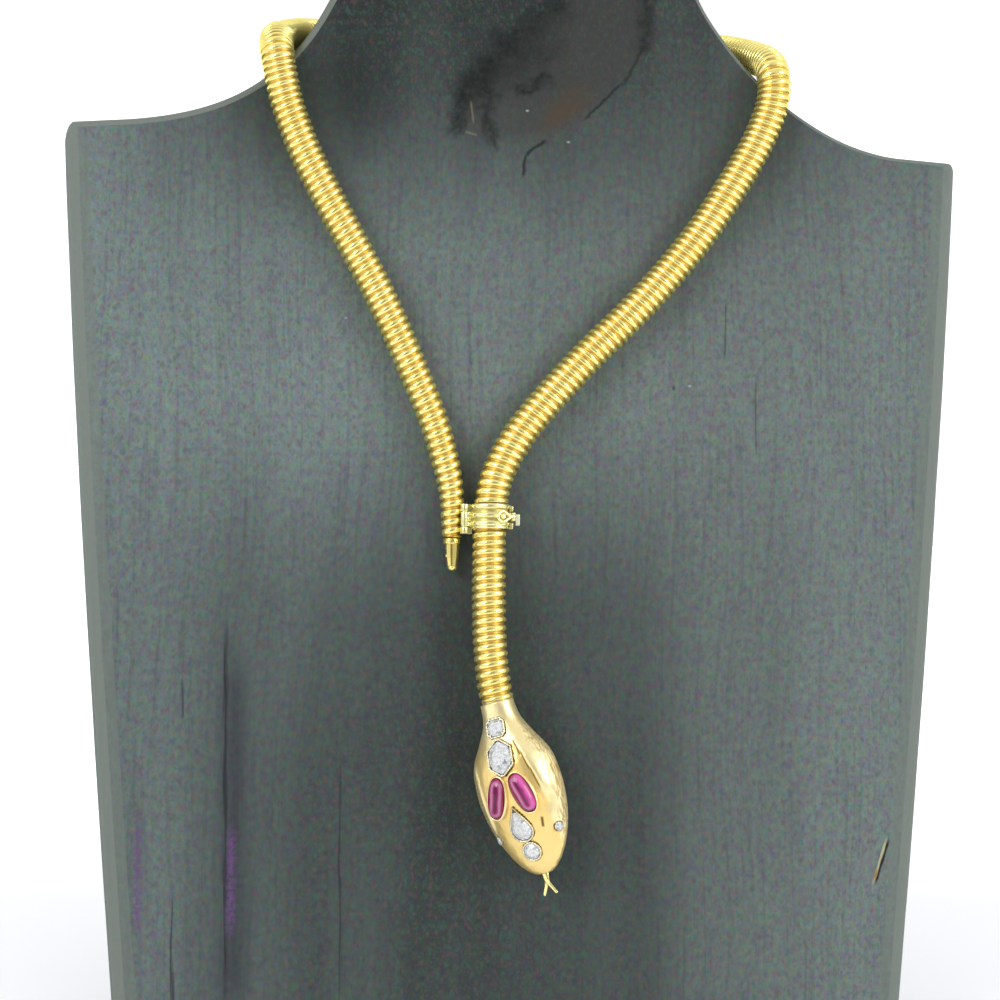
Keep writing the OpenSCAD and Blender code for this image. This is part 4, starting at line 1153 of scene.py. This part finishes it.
def loop_piece():
    shape = Shape()
    tangent = math.acos(LOOP_R / (LOOP_REACH - LOOP_TIP + 0.35))
    path = []
    for k in range(2 * ARC_STEPS + 1):
        a = (math.pi - tangent) * (1 - k / ARC_STEPS)
        path.append(Vector((LOOP_REACH + LOOP_R * math.cos(a), LOOP_R * math.sin(a), 0)))
    end = Vector((LOOP_TIP, 0, 0))
    low, high = path[-1], path[0]
    path += [low.lerp(end, k / SIDE_STEPS) for k in range(1, SIDE_STEPS)] + [end]
    path += [end.lerp(high, k / SIDE_STEPS) for k in range(1, SIDE_STEPS)]
    wire(shape, path, [LOOP_WIRE_R] * len(path), 16, True, squeeze=(1, 0.8))
    rounded_box(shape, (0.1, -0.26, -0.2), (0.8, 0.26, 0.2), 0.08)
    rounded_box(shape, (LOOP_REACH + 1.2, -0.3, -0.22), (LOOP_REACH + 1.9, 0.3, 0.22), 0.12)
    turned(shape, LOOP_EYE, turn_about("X", 90), 28)
    return shape.build("loop_wire", ON_CLASP @ LOOP_PLANE, clasp_gold, "loop", ["safety_loop"], "clasp_gold")


TAB_RIDGES, TAB_RIDGE_START, TAB_RIDGE_STEP = 4, -1.4, 0.5


def tab_piece():
    shape = Shape()
    # Tongue of the box, darkened as painted shade
    rounded_box(shape, (5.0, -0.6, 0.1), (5.4, 0.1, 1.0), 0.06, mark=0.6)
    rounded_box(shape, (5.2, -1.75, -0.3), (6.06, 0.55, 1.38), 0.1)
    for k in range(TAB_RIDGES):
        y = TAB_RIDGE_START + k * TAB_RIDGE_STEP
        post_y(shape, (5.63, 1.36), 0.06, (y - 0.02, y + 0.06), 0.01, 10)
    return shape.build("thumb_tab", ON_CLASP, tab_gold, "necklace_and_board", ["press_tab"], "clasp_gold",
                       weighted=True)


# Head by distance from the neck: half width, height above and below its middle
HEAD = [(0, 3.4, 3.4, 3.4), (4, 4, 3.6, 3.5), (8, 6.2, 4.7, 3.6), (11.3, 8.25, 5.7, 3.7),
        (14, 9.15, 6.1, 3.8), (19.3, 9.5, 6.1, 3.8), (23.5, 9.1, 5, 3.6), (26.5, 8.4, 4.1, 3.3),
        (29.4, 7.4, 3.3, 2.8), (32.3, 6, 2.6, 2.2), (34.4, 4.5, 2.05, 1.75), (35.8, 3.1, 1.5, 1.35),
        (36.5, 2, 1.1, 1), (36.7, 1.3, 0.8, 0.75)]
HEAD_L = HEAD[-1][0]
TONGUE_T = 37.4
# Fullness of the head's section, depth of the stones' pockets, and the settings' wall
FULL = 0.9
POCKET = 1.1
WALL = 0.32


def head_row(t):
    last = len(HEAD) - 1
    for i in range(last):
        if t <= HEAD[i + 1][0] or i == last - 1:
            part = (t - HEAD[i][0]) / (HEAD[i + 1][0] - HEAD[i][0])
            rows = [Vector(HEAD[k]) for k in (max(i - 1, 0), i, i + 1, min(i + 2, last))]
            return [max(size, 0.05) for size in curve_at(*rows, part)[1:]]


def bulge(v):
    return math.copysign(abs(v) ** FULL, v)


def top_z(t, x):
    c = (abs(x) / lookup(t, HEAD, 1)) ** (1 / FULL)
    return lookup(t, HEAD, 2) * math.sqrt(max(1 - c * c, 0)) ** FULL


SLOPE_STEP = 0.2


def seat(t, x, turn=0.0):
    """Place on the head's top, square to its surface."""
    d = SLOPE_STEP
    slope_y = (top_z(t - d, x) - top_z(t + d, x)) / (2 * d)
    slope_x = (top_z(t, x + d) - top_z(t, x - d)) / (2 * d)
    return (Matrix.Translation((x, -t, top_z(t, x))) @ turn_about("Y", -math.degrees(math.atan(slope_x)))
            @ turn_about("X", math.degrees(math.atan(slope_y))) @ turn_about("Z", turn))


def oval(a, b, n):
    return [(a * math.cos(2 * math.pi * i / n), b * math.sin(2 * math.pi * i / n)) for i in range(n)]


def cut_corners(a, b, x, y):
    corners = ((1, y), (x, 1), (-x, 1), (-1, y), (-1, -y), (-x, -1), (x, -1), (1, -y))
    return [(s[0] * a, s[1] * b) for s in corners]


# Outlines of the stones
SQUARE_OUT = cut_corners(1.75, 1.75, 0.62, 0.62)
HEXAGON_OUT = cut_corners(2.5, 3.6, 0.12, 0.5)
PEAR_R, PEAR_POINT, PEAR_DOWN = 2.25, 3.7, -1.45
PEAR_OUT = [(0, PEAR_POINT)]
for k in range(22):
    a = math.radians(150 + 11.25 * k)
    PEAR_OUT.append((PEAR_R * math.cos(a), PEAR_DOWN + PEAR_R * math.sin(a)))
ROUND_OUT = oval(1.75, 1.75, 32)
OVAL_FULL = 0.85
RUBY_HALF = (2, 4.35)
RUBY_OUT = [(math.copysign(RUBY_HALF[0] * abs(x) ** OVAL_FULL, x),
             math.copysign(RUBY_HALF[1] * abs(y) ** OVAL_FULL, y)) for x, y in oval(1, 1, 48)]
EYE_OUT = oval(0.95, 0.95, 20)
# Each stone's distance from the neck, place across, turn, outline and crown height
STONES = {"square": (5.1, 0, 0, SQUARE_OUT, 0.75), "hexagon": (11.2, 0, 0, HEXAGON_OUT, 0.95),
          "pear": (25.4, -0.45, 0, PEAR_OUT, 0.95), "round": (31.5, -0.1, 0, ROUND_OUT, 0.75)}
RUBY_PLACES = [(19.1, -3.05, -21), (19.2, 2.9, 13.5)]
EYE_T, EYE_X = 27.9, 6.9
EYE_LEAN, EYE_ROLL = 8, 52


def radius_at(outline, angle):
    """Distance from the middle to an outline that goes round it, in a direction."""
    d = Vector((math.cos(angle), math.sin(angle)))
    best = 0
    for i, a in enumerate(outline):
        b = outline[(i + 1) % len(outline)]
        ax, ay, bx, by = a[0], a[1], b[0] - a[0], b[1] - a[1]
        low = d.x * by - d.y * bx
        if abs(low) < 1e-9:
            continue
        r = (ax * by - ay * bx) / low
        s = (ax * d.y - ay * d.x) / low
        if r > 0 and -1e-6 <= s <= 1 + 1e-6:
            best = max(best, r)
    return best


def resample(outline, n, shift=0.0):
    """Points of an outline at equal angles."""
    ring = []
    for i in range(n):
        a = 2 * math.pi * (i + shift) / n
        r = radius_at(outline, a)
        ring.append((r * math.cos(a), r * math.sin(a)))
    return ring


def eye_seat(mirrored):
    flip = Matrix.Scale(-1, 4, (1, 0, 0)) if mirrored else Matrix.Identity(4)
    place = Matrix.Translation((EYE_X, -EYE_T, top_z(EYE_T, EYE_X)))
    return flip @ place @ turn_about("X", EYE_LEAN) @ turn_about("Y", EYE_ROLL)


# Places where stones sink into the head: the way back to its own seat, outline and room round it
SUNK = [(seat(t, x, turn).inverted(), out, WALL + 0.02) for t, x, turn, out, _ in STONES.values()]
SUNK += [(seat(*place).inverted(), RUBY_OUT, 0.1) for place in RUBY_PLACES]
SUNK += [(eye_seat(mirrored).inverted(), EYE_OUT, 0.05) for mirrored in (False, True)]
POCKET_REACH, POCKET_HIGH = 5, 1.2
MOUTH_LINES, MOUTH_START, MOUTH_HALF, MOUTH_DEEP = (196, 344), 13, 4.5, 0.5
HEAD_ROWS, HEAD_SIDES = 190, 200
# Rows stand a little closer towards the snout
ROW_SPREAD = 0.97


def inside(p, outline, grow):
    angle = math.atan2(p.y, p.x)
    return math.hypot(p.x, p.y) < radius_at(outline, angle) + grow


# Raised cheek right of the crease, a sunk panel left of it, and a raised strip on the left edge
def relief(t, x):
    """Change of the top's height, and how far the place lies in the rosy panel and in the hatched strip."""
    crease = lookup(t, CREASE)
    along = smooth_step(7, 11, t) * (1 - smooth_step(17, 22.5, t))
    off = x - crease
    cheek = CHEEK_HIGH * smooth_step(-0.1, 0.5, off) * (1 - smooth_step(0.6, 3.2, off))
    sunk = SUNK_HIGH * smooth_step(-1.3, 0.0, off) * (1 - smooth_step(0.0, 0.25, off))
    brow_t, brow_x = (t - BROW_PLACE[0]) / BROW_SIZE[0], (x - BROW_PLACE[1]) / BROW_SIZE[1]
    brow = BROW_HIGH * math.exp(-brow_t ** 2 - brow_x ** 2)
    strip = STRIP_HIGH * math.exp(-((x - STRIP_X) / STRIP_HALF) ** 2)
    left = strip * smooth_step(10, 13, t) * (1 - smooth_step(24, 28, t))
    panel = (1 - smooth_step(-0.2, 0.4, off)) * smooth_step(6.5, 11, t) * smooth_step(-7.2, -5.8, x)
    hatched = smooth_step(9, 12, t) * (1 - smooth_step(23, 26, t)) * (1 - smooth_step(-7.9, -6.9, x))
    return along * (cheek + sunk) + brow + left, panel, hatched


def mouth_depth(t, degrees, half):
    """Depth of the mouth's line, low on each side."""
    if t <= MOUTH_START:
        return 0.0
    off = min(abs(degrees - line) for line in MOUTH_LINES)
    share = smooth_step(MOUTH_START, 17, t) * (1 - smooth_step(0, MOUTH_HALF, off))
    return share * min(MOUTH_DEEP, half * 0.15)


def engraved_share(t, degrees):
    """Where the strokes are: along both edges, not on the neck and the snout."""
    if degrees < 180:
        right = 1 - smooth_step(12, 50, degrees)
        left = 1 - smooth_step(6, 26, 180 - degrees)
    else:
        right = smooth_step(335, 350, degrees)
        left = 0.3
    return max(right, left) * smooth_step(3, 9, t) * (1 - smooth_step(27, 33, t))


def head_skin():
    """Points of the head, and its marks: painted shade in the mouth's lines, engraved edges, rosy panels and
    hatched strip.
    """
    points, masks = [], [[], [], [], []]
    for i in range(HEAD_ROWS):
        t = HEAD_L * (i / (HEAD_ROWS - 1)) ** ROW_SPREAD
        half, top, low = head_row(t)
        for a, c, s in circle(1, HEAD_SIDES):
            degrees = math.degrees(a)
            p = Vector((half * bulge(c), -t, (top if s > 0 else low) * bulge(s)))
            out = Vector((c * top, 0, s * half)).normalized()
            panel = hatched = 0.0
            deep = mouth_depth(t, degrees, half)
            if p.z > 0:
                rise, panel, hatched = relief(t, p.x)
                p += out * rise * smooth_step(0, 12, min(degrees, 180 - degrees))
            points.append(p - out * deep)
            # Painted shade in the mouth's line, as dark as the groove is deep
            dark = deep / MOUTH_DEEP * 0.85
            for mask, value in zip(masks, (dark, engraved_share(t, degrees), panel, hatched)):
                mask.append(value)
    return points, masks


def sink_pockets(points, marks):
    for index, p in enumerate(points):
        if p.z < 0 and abs(p.x) < POCKET_REACH:
            continue
        for back, outline, grow in SUNK:
            q = back @ p
            near = abs(q.z) < POCKET_HIGH and max(abs(q.x), abs(q.y)) < POCKET_REACH
            if near and inside(q, outline, grow):
                points[index] = back.inverted() @ Vector((q.x, q.y, min(q.z, -POCKET + 0.02)))
                # A little painted shade in each pocket
                marks[index] = 0.1


# Section of the gold rim round a ruby: distance out from its outline, and height
RUBY_RIM = [(0.5, -1.2), (0.5, 0.1), (0.46, 0.3), (0.36, 0.44), (0.24, 0.5), (0.12, 0.48), (0.02, 0.38),
            (-0.02, 0.2), (-0.02, -1.2)]
# Short stub that carries the tube's end, with a little painted shade
NECK_STUB = [(0.0, -0.3), (3.0, -0.3), (3.0, 0.9), (0.0, 0.9)]


def head_piece():
    points, (marks, *masks) = head_skin()
    sink_pockets(points, marks)
    faces = grid_faces(HEAD_ROWS, HEAD_SIDES) + end_faces(HEAD_ROWS, HEAD_SIDES)
    shape = Shape().add(points, faces, None, marks)
    n = len(RUBY_OUT)
    for place in RUBY_PLACES:
        rim = []
        for grow, height in RUBY_RIM:
            for x, y in RUBY_OUT:
                wider = 1 + grow / math.hypot(x, y)
                rim.append((x * wider, y * wider, height))
        shape.add(rim, grid_faces(len(RUBY_RIM), n) + seam_faces(len(RUBY_RIM), n), seat(*place))
    turned(shape, NECK_STUB, turn_about("X", -90), 40, 0.3)
    piece = shape.build("serpent_head", ON_HEAD, head_gold, "necklace_and_board", ["snake_head"],
                        "rose_gold", 0)
    for name, values in zip(("engraved", "panel", "hatched"), masks):
        values += [0.0] * (len(shape.points) - len(values))
        piece.data.attributes.new(name, "FLOAT", "POINT").data.foreach_set("value", values)
    return piece


# Cup round a stone, from outside to inside: distance out, height, whether it is milled, and mark of painted
# shade
CUP = [(WALL, -1.05, False, 0.4), (WALL, 0.08, False, 0.4), (WALL + 0.04, 0.16, True, 0.0),
       (WALL - 0.02, 0.33, True, 0.0), (0.16, 0.37, True, 0.0), (0.03, 0.3, True, 0.0),
       (0.0, 0.16, False, 0.3), (0.0, -0.9, False, 0.6)]
TOOTH_POINTS = 6
PRONG = [(0.26, -0.3), (0.26, 0.1), (0.22, 0.25), (0.12, 0.34), (0.0, 0.37)]
SQUARE_PRONGS = (45, 135, 225, 315)


def setting_piece(key, teeth, prongs=()):
    """Metal cup around a stone, with a milled rim."""
    t, x, turn, outline, _ = STONES[key]
    shape = Shape()
    n = teeth * TOOTH_POINTS
    points, marks = [], []
    for grow, height, milled, mark in CUP:
        for i, (px, py) in enumerate(resample(outline, n)):
            wave = 0.5 - 0.5 * math.cos(2 * math.pi * i / TOOTH_POINTS)
            out = grow + 0.05 * wave if milled else grow
            wider = 1 + out / math.hypot(px, py)
            points.append((px * wider, py * wider, height + 0.06 * wave - 0.03 if milled else height))
            # Painted shade in the hollows between the milled teeth
            marks.append(0.55 * (1 - wave) if milled else mark)
    shape.add(points, grid_faces(len(CUP), n) + end_faces(len(CUP), n), None, marks)
    for angle in prongs:
        a = math.radians(angle)
        r = radius_at(outline, a) + 0.02
        turned(shape, PRONG, Matrix.Translation((r * math.cos(a), r * math.sin(a), 0.2)), 16)
    return shape.build(f"{key}_cup", ON_HEAD @ seat(t, x, turn), silver_metal, "necklace_and_board",
                       [f"{key}_setting"], "silver")


# Stone's table, its shoulder and girdle as shares of its outline, and the shoulder's share of the crown
TABLE, SHOULDER, GIRDLE, UNDER = 0.56, 0.8, 0.97, 0.5
SHOULDER_HIGH, GIRDLE_HIGH, GIRDLE_LOW = 0.62, 0.16, 0.04


def gem(shape, outline, crown, main=8, depth=-1.0, shift=0.0):
    """Brilliant cut to any outline: table, stars, kites, girdle and pavilion."""
    def ring(scale, height, count, turn):
        return [(x * scale, y * scale, height) for x, y in resample(outline, count, turn)]

    top = ring(TABLE, crown, main, 0.5 + shift)
    mid = ring(SHOULDER, crown * SHOULDER_HIGH, main, shift)
    girdle_high = ring(GIRDLE, GIRDLE_HIGH, 2 * main, 2 * shift)
    girdle_low = ring(GIRDLE, GIRDLE_LOW, 2 * main, 2 * shift)
    under = ring(UNDER, depth * SHOULDER_HIGH, main, 0.5 + shift)
    points = top + mid + girdle_high + girdle_low + under + [(0, 0, depth)]
    m0, h0, l0, u0 = main, 2 * main, 4 * main, 6 * main
    culet = u0 + main
    faces = [list(range(main))]
    for i in range(main):
        k = (i + 1) % main
        before = (i - 1) % main
        faces.append([before, m0 + i, i])
        faces.append([i, m0 + i, h0 + 2 * i + 1, m0 + k])
        faces.append([m0 + i, h0 + 2 * i, h0 + 2 * i + 1])
        faces.append([m0 + i, h0 + (2 * i - 1) % (2 * main), h0 + 2 * i])
        faces.append([l0 + 2 * i, l0 + 2 * i + 1, u0 + i])
        faces.append([l0 + 2 * i + 1, l0 + (2 * i + 2) % (2 * main), u0 + i])
        faces.append([l0 + (2 * i + 2) % (2 * main), u0 + k, u0 + i])
        faces.append([u0 + i, u0 + k, culet])
    for i in range(2 * main):
        k = (i + 1) % (2 * main)
        faces.append([h0 + i, l0 + i, l0 + k, h0 + k])
    shape.add(points, faces, flat=True)


def facet_reflections(piece):
    # Painted reflections: a random tone for each facet
    tones = [random.random() for _ in piece.data.polygons]
    piece.data.attributes.new("facet", "FLOAT", "FACE").data.foreach_set("value", tones)
    return piece


def diamond_piece(key, main, shift=0.0):
    t, x, turn, outline, crown = STONES[key]
    shape = Shape()
    gem(shape, outline, crown, main, shift=shift)
    piece = shape.build(f"{key}_stone", ON_HEAD @ seat(t, x, turn), clear_gem, "necklace_and_board",
                        [f"{key}_diamond"], "diamond")
    return facet_reflections(piece)


RUBY_HIGH, RUBY_BASE = 1.75, 0.1


def ruby_piece(side, place, rosy, core):
    """Domed oval stone. Its dark core of painted shade lies aside by a share of its half width."""
    shape = Shape()
    levels = [(0.93, -1.0)]
    for a in range(0, 90, 5):
        c, s = math.cos(math.radians(a)), math.sin(math.radians(a))
        levels.append((0.97 * c ** 0.85, RUBY_BASE + RUBY_HIGH * s))
    levels.append((0.04, RUBY_BASE + RUBY_HIGH))
    points, marks = [], []
    for scale, height in levels:
        for x, y in RUBY_OUT:
            points.append((x * scale, y * scale, height))
            across = x * scale / RUBY_HALF[0] - core * (1 - scale * scale)
            up = max(abs(y * scale / RUBY_HALF[1]) - 0.55, 0) * 1.9
            marks.append(min(1, math.hypot(across, up)))
    n = len(RUBY_OUT)
    shape.add(points, grid_faces(len(levels), n) + end_faces(len(levels), n), None, marks)
    piece = shape.build(f"ruby_dome_{side}", ON_HEAD @ seat(*place), red_gem, "necklace_and_board",
                        [f"ruby_{side}"], "ruby")
    # Share of painted pink light on the stone's right side
    values = [rosy] * len(piece.data.vertices)
    piece.data.attributes.new("rosy", "FLOAT", "POINT").data.foreach_set("value", values)


def eye_piece(side, mirrored):
    shape = Shape()
    gem(shape, EYE_OUT, 0.42, depth=-0.65)
    return facet_reflections(shape.build(f"eye_stone_{side}", ON_HEAD @ eye_seat(mirrored), clear_gem,
                                   "necklace_and_board", [f"eye_{side}"], "diamond"))


# Tongue's stem and its radii, and the steps of its two tines
STEM = [(0, 2.0, 0), (0, 1.2, 0), (0, 0.5, 0), (0, -0.7, 0.02), (0, -1.85, 0)]
STEM_RADII = [0.4, 0.6, 0.78, 0.6, 0.5]
TINE_STEPS = 8


def tongue_piece():
    shape = Shape()
    at = Matrix.Translation((0, -TONGUE_T, 0))
    wire(shape, STEM, STEM_RADII, 14, move=at, squeeze=(1, 0.5))
    shares = [k / TINE_STEPS for k in range(TINE_STEPS + 1)]
    for way in (-1, 1):
        tine = [(way * (0.14 + 1.36 * part ** 1.05), -1.2 - 2.6 * part, 0.04 * part) for part in shares]
        wire(shape, tine, [0.42 - 0.1 * part for part in shares], 12, move=at, squeeze=(1, 0.6))
    return shape.build("forked_tongue", ON_HEAD, tip_gold, "necklace_and_board", ["tongue"], "yellow_gold")


board_piece()
prop_piece()
tube_piece("coil_left", 0, JOIN, "tail_side_tube")
tube_piece("coil_right", JOIN, TURNS, "head_side_tube")
tip_piece()
clasp_back_piece()
clasp_front_piece()
pin_piece()
loop_piece()
tab_piece()
head_piece()
setting_piece("square", 16, SQUARE_PRONGS)
setting_piece("hexagon", 36)
setting_piece("pear", 32)
setting_piece("round", 20)
diamond_piece("square", 8)
diamond_piece("hexagon", 8)
diamond_piece("pear", 10, 0.25)
diamond_piece("round", 8)
ruby_piece("left", RUBY_PLACES[0], 0.0, 0.36)
ruby_piece("right", RUBY_PLACES[1], 1.0, 0.18)
eye_piece("left", True)
eye_piece("right", False)
tongue_piece()

# Floor, in metres: a white disc that is brighter behind the board
FLOOR_R = 3.5
SWEEP_FROM, SWEEP_TO = 0.10, 0.22
SWEEP_LOW, SWEEP_HIGH = 0.07, 0.6


def disc(name, wide, high, count, p):
    """Flat staged oval with its own material."""
    mesh = bpy.data.meshes.new(name)
    mesh.from_pydata([(wide * c, high * s, 0) for _, c, s in circle(1, count)], [], [list(range(count))])
    mesh.materials.append(p.made)
    made = bpy.data.objects.new(name, mesh)
    bpy.context.scene.collection.objects.link(made)
    return made


def floor_piece():
    p = Paint("floor_white")
    place = p.node("ShaderNodeTexCoord").outputs["Object"]
    tone = p.mix(p.noise(place, 3, 2, 0.5), (0.90, 0.91, 0.94), (0.93, 0.94, 0.96))
    sweep = p.span(p.parts(place)[1], SWEEP_FROM, SWEEP_TO, SWEEP_LOW, SWEEP_HIGH)
    p.put(Base_Color=tone, Roughness=0.6, Emission_Color=(1, 1, 1), Emission_Strength=sweep)
    disc("floor", FLOOR_R, FLOOR_R, 96, p)


floor_piece()

# Camera in front, a little to the left, for a board that is turned and moved in its own plane
VIEW_PLACE = Vector((-73.845, -663.802, 239.612))
VIEW_TARGET = Vector((-1.9, 20.7055, 112.047))
VIEW_HALF_WIDTH, VIEW_DISTANCE = 105, 700
# That turn in degrees, and that move in millimetres
BOARD_TURN = 2
BOARD_ASIDE = 2.85


def to_board(point, is_way=False):
    """The same place or direction for the board as it stands, neither turned nor moved."""
    s, c = math.sin(math.radians(LEAN)), math.cos(math.radians(LEAN))
    foot = 0 if is_way else FOOT_Y
    u, y, z = point[0], point[1] + foot, point[2]
    v, w = y * s + z * c, -y * c + z * s
    cr, sr = math.cos(math.radians(BOARD_TURN)), math.sin(math.radians(BOARD_TURN))
    across, up = u * cr - v * sr + (0 if is_way else BOARD_ASIDE), v * cr + u * sr
    return Vector((across, up * s - w * c - foot, w * s + up * c))


def add_camera():
    ahead = (VIEW_TARGET - VIEW_PLACE).normalized()
    right = ahead.cross(Vector((0, 0, 1))).normalized()
    up = right.cross(ahead)
    turn = Matrix([to_board(way, True) for way in (right, up, -ahead)]).transposed().to_4x4()
    data = bpy.data.cameras.new("camera")
    data.sensor_fit = "HORIZONTAL"
    data.angle = 2 * math.atan(VIEW_HALF_WIDTH / VIEW_DISTANCE)
    data.clip_start, data.clip_end = 0.01, 20
    camera = bpy.data.objects.new("camera", data)
    camera.matrix_world = Matrix.Translation(to_board(VIEW_PLACE) * MM) @ turn
    bpy.context.scene.collection.objects.link(camera)
    bpy.context.scene.camera = camera
    return camera


camera = add_camera()

# Soft studio light, as greys from front to back and from below to above
ROOM_DEPTH = [(0.0, (0.60, 0.61, 0.63)), (0.42, (0.74, 0.75, 0.77)), (0.52, (1.0, 1.0, 1.0)),
              (1.0, (1.0, 1.0, 1.0))]
ROOM_HEIGHT = [(0.0, (0.75, 0.75, 0.76)), (0.40, (0.8, 0.8, 0.8)), (0.46, (1.0, 1.0, 1.0)),
               (1.0, (1.0, 1.0, 1.0))]
ROOM_STRENGTH = 1.03
# Two light panels: name, place, size and power
PANELS = [("panel_left", (-0.80, -0.62, 0.80), 0.55, 6.0), ("panel_right", (0.85, -0.55, 0.62), 0.5, 5.0)]
PANEL_TARGET = Vector((0, 0, 0.12))
# Dark oval card behind the camera, seen only in reflections: half sizes, and distance
CARD_WIDE, CARD_HIGH, CARD_BEHIND = 0.27, 0.40, 0.03


class Room(Paint):
    """The world's own nodes, with the same helpers as a material."""

    def __init__(self, name):
        self.made = bpy.data.worlds.new(name)
        self.made.use_nodes = True
        self.tree = self.made.node_tree
        self.shader = self.tree.nodes["Background"]


def add_room():
    p = Room("studio")
    ways = p.parts(p.node("ShaderNodeTexCoord").outputs["Generated"])
    by_depth = p.ramp(p.math("MULTIPLY_ADD", ways[1], 0.5, 0.5), ROOM_DEPTH)
    by_height = p.ramp(p.math("MULTIPLY_ADD", ways[2], 0.5, 0.5), ROOM_HEIGHT)
    p.put(Color=p.mix(1.0, by_depth, by_height, "MULTIPLY"), Strength=ROOM_STRENGTH)
    bpy.context.scene.world = p.made


def add_panels():
    for name, place, size, power in PANELS:
        data = bpy.data.lights.new(name, "AREA")
        data.shape = "SQUARE"
        data.size = size
        data.energy = power
        light = bpy.data.objects.new(name, data)
        light.location = place
        light.rotation_euler = (PANEL_TARGET - Vector(place)).to_track_quat("-Z", "Y").to_euler()
        bpy.context.scene.collection.objects.link(light)


def add_card():
    p = Paint("dark_cloth")
    cloth = p.noise(p.node("ShaderNodeTexCoord").outputs["Object"], 20)
    p.put(Base_Color=p.mix(cloth, (0.12, 0.12, 0.12), (0.17, 0.17, 0.17)), Roughness=0.9)
    card = disc("camera_front", CARD_WIDE, CARD_HIGH, 40, p)
    card.matrix_world = camera.matrix_world @ Matrix.Translation((0, 0, CARD_BEHIND))
    card.visible_camera = False
    card.visible_shadow = False


add_room()
add_panels()
add_card()
bpy.context.scene.view_settings.view_transform = "Standard"
bpy.context.scene.view_settings.look = "None"
